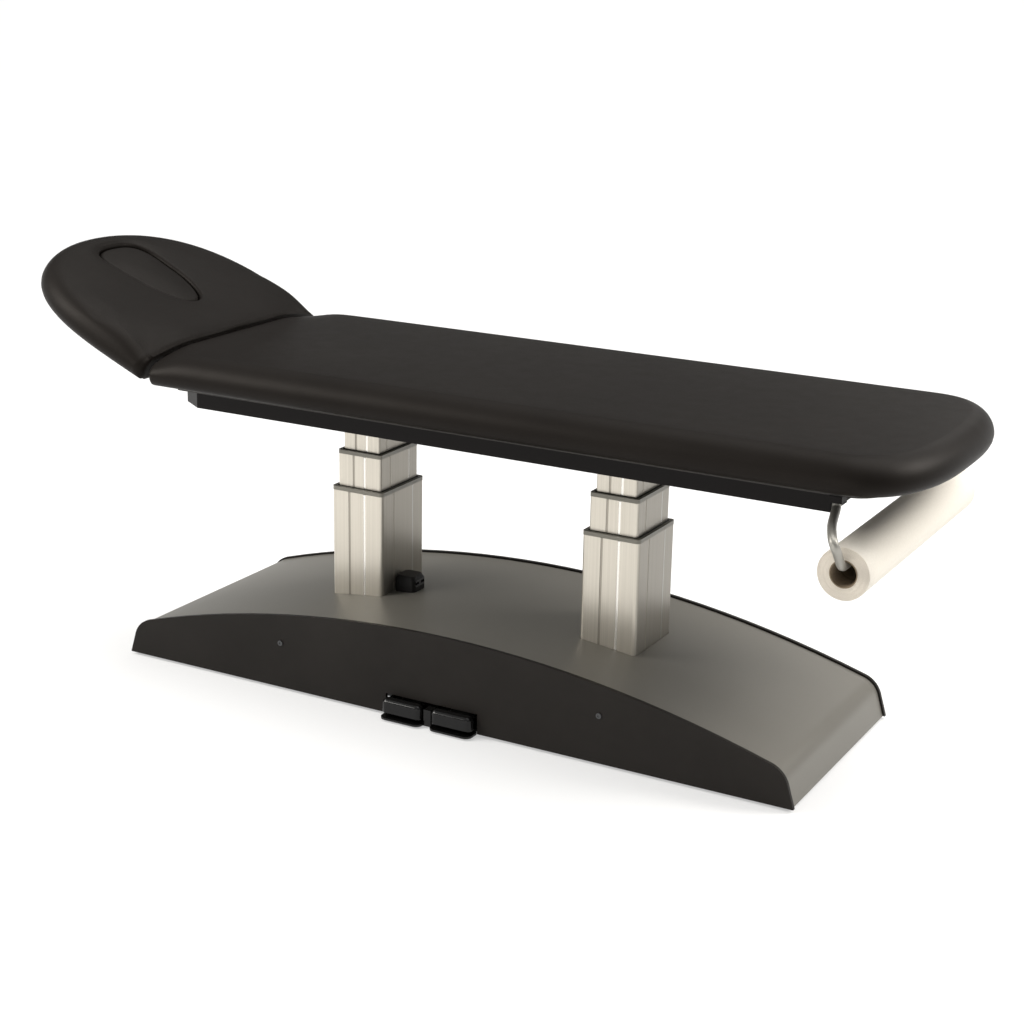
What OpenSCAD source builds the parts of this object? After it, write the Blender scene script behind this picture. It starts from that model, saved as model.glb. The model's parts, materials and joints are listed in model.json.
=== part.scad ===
/* [Whole table] */
// Middle of the base, measured from the middle of the whole length
base_x = 44; // [20:1:70]
// Gap between the base panels and the floor
floor_gap = 6; // [4:1:15]
// Lift of the top above its lowest place, as drawn
lift_now = 120; // [60:10:160]
// Play between pieces that lie side by side
play = 0.3; // [0.2:0.05:0.5]

/* [Base] */
// Length of the base at the floor
base_l = 1490; // [1400:10:1600]
// Width of the base over its side panels
base_w = 508; // [480:2:560]
// Height of the arched cover at its middle
arch_h = 179; // [165:1:200]
// Radius of the long arch
arch_r = 2400; // [2200:10:3000]
// Radius of the arch's two shoulders
shoulder_r = 48; // [40:1:56]
// Lean of the end walls, in degrees
end_lean = 17; // [10:1:22]
// Sheet thickness of the arched cover
cover_t = 2; // [1.5:0.5:3]
// Thickness of the side panels
panel_t = 8; // [6:1:12]
// How far the side panels stand above the cover
panel_lip = 4; // [2:1:8]
// Height of the panel screws above the panels' lower edge
panel_screw_z = 96; // [85:1:105]
// Half of the distance between the panel screws
panel_screw_x = 360; // [340:5:400]

/* [Chassis] */
// Width of the chassis rails
rail_w = 30; // [24:1:36]
// Height of the chassis rails
rail_h = 20; // [18:1:22]
// Height of the chassis rails above the floor
rail_z = 14; // [12:1:16]
// Distance of the long rails' middles from the side panels' outer faces
rail_in = 74; // [64:1:84]
// Length of the long rails
rail_l = 1330; // [1300:10:1360]
// Half of the distance between the levelling feet along the base
foot_x = 600; // [560:5:640]
// Radius of a levelling foot's pad
foot_r = 20; // [15:1:24]
// Radius of a levelling foot's stud
foot_stud_r = 5; // [4:0.5:6]

/* [Columns] */
// Half of the distance between the two columns
column_x = 288; // [270:1:300]
// Outer stage, size along the table
outer_x = 121; // [119:1:123]
// Outer stage, size across the table
outer_y = 162; // [160:1:164]
// Middle stage, size along the table
middle_x = 103; // [102:0.5:104]
// Middle stage, size across the table
middle_y = 144; // [143:0.5:145]
// Inner stage, size along the table
inner_x = 86; // [85:0.5:87]
// Inner stage, size across the table
inner_y = 127; // [126:0.5:128]
// Wall of every stage
stage_wall = 3.5; // [3:0.25:4]
// Corner radius of the outer stage
stage_r = 8; // [6:1:10]
// Width of a groove in a stage's face
groove_w = 5; // [4:0.5:7]
// Depth of a groove in a stage's face
groove_d = 1.5; // [1:0.25:2]
// Place of the grooves from the middle of the narrow face
groove_x = 18; // [15:1:22]
// Same on the middle and the inner stage
groove_in_x = 13; // [11:1:16]
// Place of the grooves from the middle of the wide face
groove_y = 37; // [33:1:40]
// Top of the outer stage with its collar
outer_top = 394; // [380:1:410]
// Height of a collar
collar_h = 8; // [6:1:10]
// Gap left over each collar when the top is at its lowest
park_gap = 8; // [6:1:12]
// Lowest place of the middle stage's lower end
middle_low = 62; // [60:1:66]
// Lowest place of the inner stage's lower end
inner_low = 96; // [94:1:100]

/* [Drive] */
// Radius of the lift screws
screw_r = 8; // [7:0.5:9]
// Radial play of a screw in its nut or bearing
screw_play = 0.05; // [0.02:0.01:0.08]
// Place of each lift screw from the column's middle, across the table
screw_y = 24; // [22:1:28]
// Top of the lower lift screws
lower_screw_top = 305; // [300:1:320]
// Length of the upper lift screws
upper_screw_l = 246; // [242:1:250]
// Radius of a column motor
motor_r = 24; // [20:1:26]
// Length of a column motor
motor_l = 112; // [100:1:120]
// Height of the gearbox under each lower screw
gearbox_h = 18; // [16:1:19]
// Thickness of the transfer gearbox on each middle stage
transfer_h = 26; // [24:1:28]
// Thickness of the nut plate under each inner stage
nut_h = 20; // [18:1:24]

/* [Top frame] */
// Underside of the top frame
frame_z = 554; // [550:1:560]
// Height of the frame's tubes
frame_h = 34; // [32:1:40]
// Width of the frame's tubes
frame_t = 30; // [26:1:34]
// Wall of the frame's tubes
frame_wall = 2.5; // [2:0.5:3]
// How far the frame's side tubes stay inside the cushion's sides
frame_side_in = 81; // [70:1:90]
// How far the frame's head end stays inside the body cushion
frame_head_in = 10; // [8:1:16]
// How far the frame's foot end stays inside the body cushion
frame_foot_in = 181; // [174:1:190]
// Cut of the head-end corners, along the table
corner_x = 51; // [45:1:60]
// Cut of the head-end corners, across the table
corner_y = 34; // [30:1:40]
// Thickness of the boards under the cushions
board_t = 18; // [12:1:20]
// How far the boards stay inside the cushions' edge
board_inset = 70; // [62:1:76]
// Same for the head cushion's board, which leaves a rim around its hole
head_board_inset = 52; // [44:1:58]

/* [Cushions] */
// Head end of the body cushion
seam_x = -597; // [-602:1:-594]
// Length of the body cushion
body_l = 1590; // [1560:1:1620]
// Width of the body cushion
body_w = 604; // [580:1:620]
// Thickness of the body cushion at its edge
cushion_t = 65; // [60:1:70]
// Rise of the crown above the cushion's edge
crown = 3; // [2:0.5:6]
// Round lower edge of the cushions
edge_low_r = 22; // [16:1:26]
// Width of the cushions' round upper edge, seen from above
edge_w = 42; // [34:1:50]
// Length of the round foot end, seen from above
foot_end_l = 165; // [140:1:190]
// Round corner of the head end of the body cushion, seen from above
near_corner_r = 12; // [8:1:30]
// Length of the head cushion
head_l = 425; // [405:1:445]
// Half width of the head cushion at the seam
head_half_w = 306; // [294:1:314]
// Thickness of the head cushion
head_t = 68; // [62:1:72]
// Width of the head cushion's round upper edge, seen from above
head_edge_w = 30; // [24:1:44]

/* [Head section] */
// Tilt of the head section above level, in degrees, as drawn
head_tilt = 23; // [20:0.1:25]
// Gap from the body cushion to the hinge axis
hinge_gap = 12; // [11:0.5:14]
// Gap from the hinge axis to the head cushion
head_gap = 16.5; // [16:0.5:19]
// Radius of the hinge pins
pin_r = 5; // [4:0.5:6]
// Radius of the hinge eyes
eye_r = 9; // [8:0.5:9.5]
// Thickness of the hinge arms
arm_t = 6; // [5:0.5:8]
// Place of the hinges from the middle of the table
hinge_y = 150; // [130:5:160]
// Middle of the breathing hole from the seam, share of the head cushion's length
hole_share = 0.559; // [0.54:0.001:0.6]
// Half length of the breathing hole, share of the head cushion's length
hole_l_share = 0.285; // [0.26:0.001:0.3]
// Half width of the breathing hole, share of the head cushion's half width
hole_w_share = 0.225; // [0.2:0.001:0.25]
// Ledge of the head board under the plug
ledge = 12; // [10:1:16]

/* [Paper roll] */
// How far the roll's axis is out from the frame's foot end
roll_out = 54; // [48:1:60]
// Height of the roll's axis
roll_z = 472.7; // [468:0.1:480]
// How far the roll's near end stays inside the cushion's side
roll_side_in = 12; // [6:1:20]
// Length of the roll
roll_l = 612; // [590:1:620]
// Radius of the paper
roll_r = 47; // [40:1:55]
// Bore radius of the cardboard core
core_r = 23; // [20:1:26]
// Wall of the cardboard core
core_wall = 2; // [1.5:0.5:3]
// Radius of the roll holder's bar
bar_r = 8; // [6:0.5:9]

/* [Foot control and power] */
// Middle of the foot control, from the middle of the base
pedal_x = -4; // [-20:1:20]
// Width of a pedal
pedal_w = 90; // [80:1:96]
// Gap between the pedals
pedal_gap = 22; // [18:1:30]
// Height of a pedal's top above the floor
pedal_top = 44; // [40:1:46]
// How far the pedals stand out of the front panel
pedal_out = 24; // [18:1:30]
// Width of the socket block
socket_w = 48; // [44:1:60]
// Height of the socket block
socket_h = 34; // [30:1:44]

/* [Hidden] */
$fn = 48;

// Overrun of every cut
over = 1;

black = "#1d1b1a";
vinyl = "#2b2826";
silver = "#cbc4b8";
warm_grey = "#7d776c";
dark_steel = "#3a3c3e";
zinc = "#b9bcc0";
paper = "#efe8da";
card = "#b59a74";

// Places that several pieces share
base_half = base_l / 2;
panel_y = base_w / 2 - panel_t;
rail_gauge = base_w - 2 * rail_in;
column_xs = [base_x - column_x, base_x + column_x];
sides = [-1, 1];
rail_top = rail_z + rail_h;
rail_y = rail_gauge / 2;
foot_plate_t = 8;
column_floor = rail_top + foot_plate_t;
frame_top = frame_z + frame_h;
frame_w = body_w - 2 * frame_side_in;
frame_x0 = seam_x + frame_head_in;
frame_x1 = seam_x + body_l - frame_foot_in;
roll_x = frame_x1 + roll_out;
roll_y0 = roll_side_in - body_w / 2;
hole_u = hole_share * head_l;
hole_a = hole_l_share * head_l;
hole_b = hole_w_share * head_half_w;
cushion_z = frame_top + board_t;
pivot_x = seam_x - hinge_gap;
pivot_z = cushion_z;
bolt_r = 4;
bolt_head_r = 6.5;
bolt_head_h = 5;

module block(size, at) translate([at[0] - size[0] / 2, at[1] - size[1] / 2, at[2]]) cube(size);

module rod_y(r, y0, y1) translate([0, y0, 0]) rotate([-90, 0, 0]) cylinder(r = r, h = y1 - y0);

module rod_x(r, x0, x1) translate([x0, 0, 0]) rotate([0, 90, 0]) cylinder(r = r, h = x1 - x0);

module pair_y() for (side = [0, 1]) mirror([0, side, 0]) children();

// A plate in the XZ plane, from y0 to y1, its outline drawn in x and z
module upright_plate(y0, y1) translate([0, y1, 0]) rotate([90, 0, 0]) linear_extrude(y1 - y0) children();

// Flat outline with round corners
module round_rect(size, r) {
    square([size[0] - 2 * r, size[1]], center = true);
    square([size[0], size[1] - 2 * r], center = true);
    for (sx = sides, sy = sides)
        translate([sx * (size[0] / 2 - r), sy * (size[1] / 2 - r)]) circle(r = r);
}

// Rectangular tubes; their lowest corner is at the given place
module tube_x(x0, x1, y0, z0, w, h, wall) translate([x0, y0, z0]) difference() {
    cube([x1 - x0, w, h]);
    translate([-over, wall, wall]) cube([x1 - x0 + 2 * over, w - 2 * wall, h - 2 * wall]);
}

module tube_y(y0, y1, x0, z0, w, h, wall) translate([x0, y0, z0]) difference() {
    cube([w, y1 - y0, h]);
    translate([wall, -over, wall]) cube([w - 2 * wall, y1 - y0 + 2 * over, h - 2 * wall]);
}

// The arched base, drawn in x and z from the panels' lower edge
arch_centre = [0, arch_h - arch_r];
wall_out = [cos(end_lean), sin(end_lean)];
wall_up = [-sin(end_lean), cos(end_lean)];

// Centre of a shoulder circle, which touches the arch and the end wall from inside
function shoulder_at() =
    let (foot = (base_half * wall_out[0] - shoulder_r) * wall_out,
        reach = foot - arch_centre,
        b = reach * wall_up,
        c = reach * reach - pow(arch_r - shoulder_r, 2))
    foot + (sqrt(b * b - c) - b) * wall_up;

function flip(p) = [-p[0], p[1]];

// Outline of the base, grown outwards by g
module arch_outline(g) {
    centre = shoulder_at();
    ray = (centre - arch_centre) / norm(centre - arch_centre);
    touch = centre + (shoulder_r + g) * wall_out;
    high = arch_centre + (arch_r + g + shoulder_r) * ray;
    toe = [base_half + g / wall_out[0], 0];
    intersection() {
        translate([-base_l, 0]) square([2 * base_l, arch_h + g]);
        union() {
            intersection() {
                translate(arch_centre) circle(r = arch_r + g, $fn = 360);
                polygon([toe, touch, centre, high, [0, high[1] + arch_h], flip(high), flip(centre),
                    flip(touch), flip(toe)]);
            }
            for (p = [centre, flip(centre)]) translate(p) circle(r = shoulder_r + g);
        }
    }
}

module arch_plate(g, y0, y1) translate([base_x, 0, floor_gap]) upright_plate(y0, y1) arch_outline(g);

// Base

chassis_wall = 2;
end_rail_w = 40;
seat_rail_x = 40;
post_t = 6;
post_w = 28;
tray_w = 220;
tray_t = 3;
screw_hole_r = 3;
panel_screw_at = floor_gap + panel_screw_z;
post_top = panel_screw_at + post_w / 2;

module base_chassis() color(dark_steel) difference() {
    union() {
        pair_y() tube_x(base_x - rail_l / 2, base_x + rail_l / 2, rail_y - rail_w / 2, rail_z,
            rail_w, rail_h, chassis_wall);
        for (x = [-rail_l / 2, rail_l / 2 - end_rail_w])
            tube_y(-rail_y + rail_w / 2, rail_y - rail_w / 2, base_x + x, rail_z,
                end_rail_w, rail_h, chassis_wall);
        for (x = column_xs, dx = sides)
            tube_y(-rail_y + rail_w / 2, rail_y - rail_w / 2, x + dx * seat_rail_x - rail_w / 2,
                rail_z, rail_w, rail_h, chassis_wall);
        block([tray_w, rail_gauge, tray_t], [base_x, 0, rail_top]);
        pair_y() for (sx = sides) translate([base_x + sx * panel_screw_x - post_w / 2, 0, 0]) {
            translate([0, rail_y - post_t, rail_top]) cube([post_w, post_t, post_top - rail_top]);
            translate([0, rail_y - post_t, post_top - post_w])
                cube([post_w, panel_y - rail_y + post_t - play, post_w]);
        }
    }
    for (sx = sides, sy = sides)
        translate([base_x + sx * foot_x, sy * rail_y, rail_z - over])
            cylinder(r = foot_stud_r + screw_play, h = rail_h + 2 * over);
    pair_y() for (sx = sides) translate([base_x + sx * panel_screw_x, 0, panel_screw_at])
        rod_y(screw_hole_r, rail_y - post_t - over, panel_y + over);
}

foot_pad_h = rail_z / 2;
foot_nut_r = 1.8 * foot_stud_r;

module levelling_feet() color(dark_steel) for (sx = sides, sy = sides)
    translate([base_x + sx * foot_x, sy * rail_y, 0]) {
        cylinder(r = foot_r, h = foot_pad_h);
        cylinder(r = foot_nut_r, h = rail_z);
        cylinder(r = foot_stud_r, h = rail_top + foot_stud_r);
    }

column_slot = 1;
cable_r = 3.5;
socket_gap = 3;
socket_x = column_xs[0] + outer_x / 2 + socket_gap + socket_w / 2;
socket_y = -15;
socket_hole_r = cable_r + play;

module base_cover() color(warm_grey) difference() {
    arch_plate(0, -panel_y + play, panel_y - play);
    arch_plate(-cover_t, -panel_y - over, panel_y + over);
    for (x = column_xs) translate([x, 0, arch_h / 2]) linear_extrude(arch_h)
        round_rect([outer_x + 2 * column_slot, outer_y + 2 * column_slot], stage_r + column_slot);
    translate([socket_x, socket_y, arch_h / 2]) cylinder(r = socket_hole_r, h = arch_h);
}

module panel_blank(y0, y1) difference() {
    arch_plate(panel_lip, y0, y1);
    for (sx = sides) translate([base_x + sx * panel_screw_x, 0, panel_screw_at])
        rod_y(screw_hole_r + screw_play, y0 - over, y1 + over);
}

pedal_mid = base_x + pedal_x;
slot_play = 3;
slot_w = 2 * pedal_w + pedal_gap + 2 * slot_play;

module front_side_panel() color(black) difference() {
    panel_blank(-base_w / 2, -panel_y);
    translate([pedal_mid - slot_w / 2, -base_w / 2 - over, 0])
        cube([slot_w, panel_t + 2 * over, pedal_top + slot_play]);
}

// The inlet plate's size, and its place on the rear panel
inlet = [62, 32];
inlet_off = 50;
inlet_x = base_x - inlet_off;
inlet_z = 70;
inlet_d = 30;
inlet_rim = 3;
inlet_flange_t = 2;

module rear_side_panel() color(black) difference() {
    panel_blank(panel_y, base_w / 2);
    translate([inlet_x - inlet[0] / 2, panel_y - over, inlet_z - inlet[1] / 2])
        cube([inlet[0], panel_t + 2 * over, inlet[1]]);
}

panel_head_r = 5.5;
panel_head_h = 2.5;

module panel_screws() color(black) pair_y() for (sx = sides)
    translate([base_x + sx * panel_screw_x, 0, panel_screw_at]) {
        rod_y(screw_hole_r, rail_y, base_w / 2);
        difference() {
            rod_y(panel_head_r, base_w / 2, base_w / 2 + panel_head_h);
            translate([0, base_w / 2 + panel_head_h / 2, 0]) rotate([-90, 0, 0])
                cylinder(r = panel_head_r / 2, h = panel_head_h, $fn = 6);
        }
    }

// Columns

outer = [outer_x, outer_y];
middle = [middle_x, middle_y];
inner = [inner_x, inner_y];
middle_r = 6.5;
inner_r = 5;

// Section of a stage, with square grooves along its faces
module stage_section(size, r, wall) difference() {
    round_rect(size, r);
    round_rect([size[0] - 2 * wall, size[1] - 2 * wall], r / 2);
    for (g = sides, s = [0, 1]) {
        mirror([0, s]) translate([g * (size == outer ? groove_x : groove_in_x) - groove_w / 2, size[1] / 2 - groove_d])
            square([groove_w, groove_d + over]);
        mirror([s, 0]) translate([size[0] / 2 - groove_d, g * groove_y - groove_w / 2])
            square([groove_d + over, groove_w]);
    }
}

module stage(size, r, z0, z1) translate([0, 0, z0]) linear_extrude(z1 - z0)
    stage_section(size, r, stage_wall);

// Cap ring on a stage, which guides the next stage
wiper_play = 0.6;
collar_proud = 0.6;

module collar(size, r, next, next_r, top) translate([0, 0, top - collar_h]) linear_extrude(collar_h)
    difference() {
        round_rect([size[0] + 2 * collar_proud, size[1] + 2 * collar_proud], r + collar_proud);
        round_rect([next[0] + 2 * wiper_play, next[1] + 2 * wiper_play], next_r + wiper_play);
    }

foot_plate_out = 32;
foot_plate = [outer_x, outer_y + 2 * foot_plate_out];
foot_bolt = [outer_x / 4, (outer_y + foot_plate_out) / 2];

module foot_bolt_places() for (x = column_xs, sx = sides, sy = sides)
    translate([x + sx * foot_bolt[0], sy * foot_bolt[1], rail_top]) children();

module column_foot_plates() color(dark_steel) difference() {
    for (x = column_xs) block([foot_plate[0], foot_plate[1], foot_plate_t], [x, 0, rail_top]);
    foot_bolt_places() translate([0, 0, -over]) cylinder(r = bolt_r, h = foot_plate_t + 2 * over);
}

module foot_plate_bolts() color(zinc) foot_bolt_places() {
    cylinder(r = bolt_r, h = foot_plate_t);
    translate([0, 0, foot_plate_t]) cylinder(r = bolt_head_r, h = bolt_head_h, $fn = 6);
}

neck_r = 7;
worm_z = column_floor + gearbox_h / 2;
gearbox = [52, 60];
motor_x0 = outer_x / 2 + play;
motor_x1 = motor_x0 + motor_l;

module outer_column(i) color(silver) translate([column_xs[i], 0, 0]) difference() {
    stage(outer, stage_r, column_floor, outer_top - collar_h);
    translate([0, -screw_y, worm_z]) rod_x(neck_r + play, i == 0 ? 0 : -outer_x, i == 0 ? outer_x : 0);
}

module left_outer_column() outer_column(0);
module right_outer_column() outer_column(1);

module outer_collar(i) color(dark_steel) translate([column_xs[i], 0, 0])
    collar(outer, stage_r, middle, middle_r, outer_top);

module left_outer_collar() outer_collar(0);
module right_outer_collar() outer_collar(1);

// Worm gearbox under the screw, with its motor outside the column
module column_motor(i) color(dark_steel) translate([column_xs[i], -screw_y, 0]) mirror([i, 0, 0])
    difference() {
        union() {
            block([gearbox[0], gearbox[1], gearbox_h], [0, 0, column_floor]);
            translate([0, 0, worm_z]) {
                rod_x(neck_r, 0, motor_x1);
                rod_x(motor_r, motor_x0, motor_x1);
            }
        }
        translate([0, 0, worm_z]) cylinder(r = screw_r + screw_play, h = gearbox_h);
    }

module left_column_motor() column_motor(0);
module right_column_motor() column_motor(1);

// Electrics in the base

box = [160, 120, 60];
box_z = rail_top + tray_t;

module control_box() color(black) difference() {
    block(box, [base_x, 0, box_z]);
    for (side = sides) translate([base_x + side * box[0] / 2, -screw_y, worm_z]) rod_x(cable_r + screw_play, -2 * over, over);
}

module motor_cables() color(black) for (i = [0, 1])
    translate([0, -screw_y, worm_z])
        rod_x(cable_r, i == 0 ? column_xs[0] + motor_x1 : base_x + box[0] / 2 - over,
            i == 0 ? base_x - box[0] / 2 + over : column_xs[1] - motor_x1);

supply_z = worm_z + motor_r + 3 * cable_r;
elbow_r = 16;
inlet_back = panel_y - inlet_d + panel_t;
pedal_cable_z = box_z + 2 * cable_r;
// The cover's surface under the socket block
socket_seat = floor_gap + arch_h - arch_r + sqrt(pow(arch_r, 2) - pow(base_x - socket_x, 2));

// To the mains inlet, the foot control and the socket block
module supply_cables() color(black) {
    translate([inlet_x, 0, inlet_z]) rod_y(cable_r, box[1] / 2, inlet_back);
    translate([pedal_mid, 0, pedal_cable_z]) rod_y(cable_r, -rail_y - rail_w / 2, -box[1] / 2);
    translate([0, socket_y, supply_z]) rod_x(cable_r, socket_x + elbow_r, base_x - box[0] / 2);
    translate([socket_x + elbow_r, socket_y, supply_z + elbow_r]) rotate([90, 0, 0]) rotate([0, 0, 180])
        rotate_extrude(angle = 90) translate([elbow_r, 0]) circle(r = cable_r);
    translate([socket_x, socket_y, supply_z + elbow_r])
        cylinder(r = cable_r, h = socket_seat - cover_t - supply_z - elbow_r);
}

inlet_socket = [24, 16];
inlet_socket_d = 14;
switch_bay = [15, 24];
switch_d = 12;
switch_side = 1.5;
switch_tilt = 14;
switch_gap = 8;
switch_r = 9;
switch_w = switch_bay[0] - 2 * play;
switch_x = inlet_x + inlet[0] / 2 - switch_gap - switch_bay[0] / 2;
inlet_socket_x = inlet_x - inlet[0] / 2 + switch_gap + inlet_socket[0] / 2;
inlet_front = base_w / 2 + inlet_flange_t;
switch_y = inlet_front - switch_r / 2;

module mains_inlet() color(black) difference() {
    union() {
        translate([inlet_x - inlet[0] / 2 + play, inlet_back, inlet_z - inlet[1] / 2 + play])
            cube([inlet[0] - 2 * play, base_w / 2 - inlet_back, inlet[1] - 2 * play]);
        translate([inlet_x - inlet[0] / 2 - inlet_rim, base_w / 2, inlet_z - inlet[1] / 2 - inlet_rim])
            cube([inlet[0] + 2 * inlet_rim, inlet_flange_t, inlet[1] + 2 * inlet_rim]);
    }
    translate([inlet_socket_x - inlet_socket[0] / 2, inlet_front - inlet_socket_d, inlet_z - inlet_socket[1] / 2])
        cube([inlet_socket[0], inlet_socket_d + over, inlet_socket[1]]);
    translate([switch_x - switch_bay[0] / 2, inlet_front - switch_d - switch_r / 2, inlet_z - switch_bay[1] / 2])
        cube([switch_bay[0], switch_d + switch_r, switch_bay[1]]);
}

// Rocker of the power switch, a drum with its front face cut to a shallow V
module power_switch() color(black) translate([switch_x, switch_y, inlet_z]) difference() {
    rod_x(switch_r, -switch_w / 2, switch_w / 2);
    for (tilt = [0, -switch_tilt]) rotate([tilt, 0, 0])
        translate([-switch_w, switch_r - switch_side, -switch_r]) cube([2 * switch_w, switch_r, 2 * switch_r]);
}

// Socket block on the cover beside the left column
socket_r = 10;
socket_corner = 8;
face_w = 32;
face_h = 14;
face_t = 1.5;
port = [13, 6];
port_d = 12;
port_x = 10;
face_z = 12;
port_z = face_z + (face_h - port[1]) / 2;

module socket_block() color(black) difference() {
    hull() {
        translate([socket_x, socket_y, socket_seat - socket_corner]) linear_extrude(socket_h)
            round_rect([socket_w, socket_w], socket_r, $fn = 32);
        translate([socket_x, socket_y, socket_seat]) linear_extrude(socket_h)
            round_rect([socket_w - socket_corner, socket_w - socket_corner], socket_r, $fn = 32);
    }
    arch_plate(play / 2, -base_w, base_w);
    translate([socket_x + socket_w / 2 - face_t, socket_y - face_w / 2, socket_seat + face_z])
        cube([socket_w, face_w, face_h]);
    for (side = sides)
        translate([socket_x + socket_w / 2 - port_d, socket_y + side * port_x - port[0] / 2, socket_seat + port_z])
            cube([socket_w, port[0], port[1]]);
}

module socket_faces() color(zinc) difference() {
    translate([socket_x + socket_w / 2 - face_t, socket_y - face_w / 2, socket_seat + face_z])
        cube([face_t, face_w, face_h]);
    for (side = sides)
        translate([socket_x, socket_y + side * port_x - port[0] / 2, socket_seat + port_z])
            cube([socket_w, port[0], port[1]]);
}

// Foot control in the front panel's slot
pin_in = 20;
pin_y = -panel_y + pin_in;
pin_z = 28;
pedal_pin_r = 3;
pedal_eye_r = 7;
cheek_t = 5;
housing_back = -rail_y - rail_w / 2;
housing_floor = 8;
housing_floor_t = 3;
housing_top = 50;
housing_w = slot_w - 2 * play;
pedal_xs = [pedal_mid - (pedal_w + pedal_gap) / 2, pedal_mid + (pedal_w + pedal_gap) / 2];

module foot_control_housing() color(black) {
    translate([pedal_mid - housing_w / 2, 0, housing_floor]) {
        translate([0, -panel_y + play, 0]) cube([housing_w, housing_back + panel_y - play, housing_floor_t]);
        translate([0, housing_back - cheek_t, 0]) cube([housing_w, cheek_t, housing_top - housing_floor]);
        for (x = [0, housing_w - cheek_t]) translate([x, -panel_y + play, 0])
            cube([cheek_t, housing_back + panel_y - play, pin_z + pedal_eye_r - housing_floor]);
    }
    translate([pedal_mid - cheek_t, -panel_y + play, housing_floor])
        cube([2 * cheek_t, housing_back + panel_y - play, pin_z + pedal_eye_r - housing_floor]);
    translate([0, pin_y, pin_z]) rod_x(pedal_pin_r, pedal_mid - housing_w / 2, pedal_mid + housing_w / 2);
}

tray_lip_z = 4;
tray_lip_t = housing_floor - tray_lip_z;
tray_out = 6;
tray_r = 14;
tray_y0 = -base_w / 2 - pedal_out - tray_out;
tray_y1 = -panel_y + cheek_t;

// Lips under the pedals, joined by a lower bridge
module foot_control_tray() color(black) {
    for (x = pedal_xs) translate([x, (tray_y0 + tray_y1) / 2, tray_lip_z]) linear_extrude(tray_lip_t)
        round_rect([pedal_w + slot_play, tray_y1 - tray_y0], tray_r);
    translate([pedal_mid - pedal_gap, -base_w / 2 - tray_r, tray_lip_z])
        cube([2 * pedal_gap, tray_y1 + base_w / 2 + tray_r, tray_lip_t]);
    translate([pedal_mid - pedal_gap / 2 + slot_play, -base_w / 2 - tray_r, housing_floor])
        cube([pedal_gap - 2 * slot_play, tray_r + panel_t - play, pedal_top - housing_floor - tray_out]);
}

pod_lift = 6;
pod_z = housing_floor + pod_lift;
pod_r = 11;
pod_back = -base_w / 2 - play;
pod_edge = 5;

module pod_layer(inset, z0, z1) translate([0, (pod_back - base_w / 2 - pedal_out) / 2, z0])
    linear_extrude(z1 - z0) round_rect([pedal_w - 2 * inset, base_w / 2 + pedal_out + pod_back - 2 * inset],
        pod_r - inset, $fn = 32);

module pedal(i) color(black) translate([pedal_xs[i], 0, 0]) difference() {
    union() {
        hull() {
            pod_layer(pod_edge / 2, pod_z, pedal_top - pod_edge);
            pod_layer(0, pod_z + pod_edge / 2, pedal_top - pod_edge);
            pod_layer(pod_edge, pedal_top - pod_edge, pedal_top);
        }
        translate([-pedal_w / 4, pod_back - pod_edge, pin_z - pedal_eye_r])
            cube([pedal_w / 2, pin_y - pod_back + pod_edge, 2 * pedal_eye_r]);
        translate([0, pin_y, pin_z]) rod_x(pedal_eye_r, -pedal_w / 3, pedal_w / 3);
    }
    translate([0, pin_y, pin_z]) rod_x(pedal_pin_r + screw_play, -pedal_w, pedal_w);
}

module up_pedal() pedal(1);
module down_pedal() pedal(0);

// Moving stages and their drive

middle_top = outer_top + park_gap + collar_h + lift_now / 2;
middle_z = middle_low + lift_now / 2;
inner_z = inner_low + lift_now;
top_plate_t = 8;
plate_z = frame_z - top_plate_t;

module lower_screw(i) color(zinc) translate([column_xs[i], -screw_y, worm_z])
    cylinder(r = screw_r, h = lower_screw_top - worm_z);

module left_lower_screw() lower_screw(0);
module right_lower_screw() lower_screw(1);

module middle_column(i) color(silver) translate([column_xs[i], 0, 0])
    stage(middle, middle_r, middle_z, middle_top - collar_h);

module left_middle_column() middle_column(0);
module right_middle_column() middle_column(1);

module middle_collar(i) color(dark_steel) translate([column_xs[i], 0, 0])
    collar(middle, middle_r, inner, inner_r, middle_top);

module left_middle_collar() middle_collar(0);
module right_middle_collar() middle_collar(1);

// Carries the nut of the lower screw and the bearing of the upper screw
module transfer_gearbox(i) color(dark_steel) translate([column_xs[i], 0, middle_z]) difference() {
    block([middle_x - 2 * stage_wall, middle_y - 2 * stage_wall, transfer_h], [0, 0, 0]);
    translate([0, -screw_y, -over]) cylinder(r = screw_r + screw_play, h = transfer_h + 2 * over);
    translate([0, screw_y, transfer_h / 2]) cylinder(r = screw_r + screw_play, h = transfer_h);
    for (sx = sides, sy = sides)
        translate([sx * (middle_x / 2 - stage_wall), sy * (middle_y / 2 - stage_wall), -over])
            cylinder(r = middle_r, h = transfer_h + 2 * over);
}

module left_transfer_gearbox() transfer_gearbox(0);
module right_transfer_gearbox() transfer_gearbox(1);

module upper_screw(i) color(zinc) translate([column_xs[i], screw_y, middle_z + transfer_h / 2])
    cylinder(r = screw_r, h = upper_screw_l);

module left_upper_screw() upper_screw(0);
module right_upper_screw() upper_screw(1);

// Sliding pads on the four faces of a stage, which run inside the next stage out
glide_w = 26;
glide_h = 34;
glide_clear = 0.3;

module glides(size, around, z) for (s = [0, 1]) {
    gap_x = (around[0] - size[0]) / 2 - stage_wall - glide_clear;
    gap_y = (around[1] - size[1]) / 2 - stage_wall - glide_clear;
    mirror([s, 0, 0]) translate([size[0] / 2, -glide_w / 2, z]) cube([gap_x, glide_w, glide_h]);
    mirror([0, s, 0]) translate([-glide_w / 2, size[1] / 2, z]) cube([glide_w, gap_y, glide_h]);
}

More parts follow.
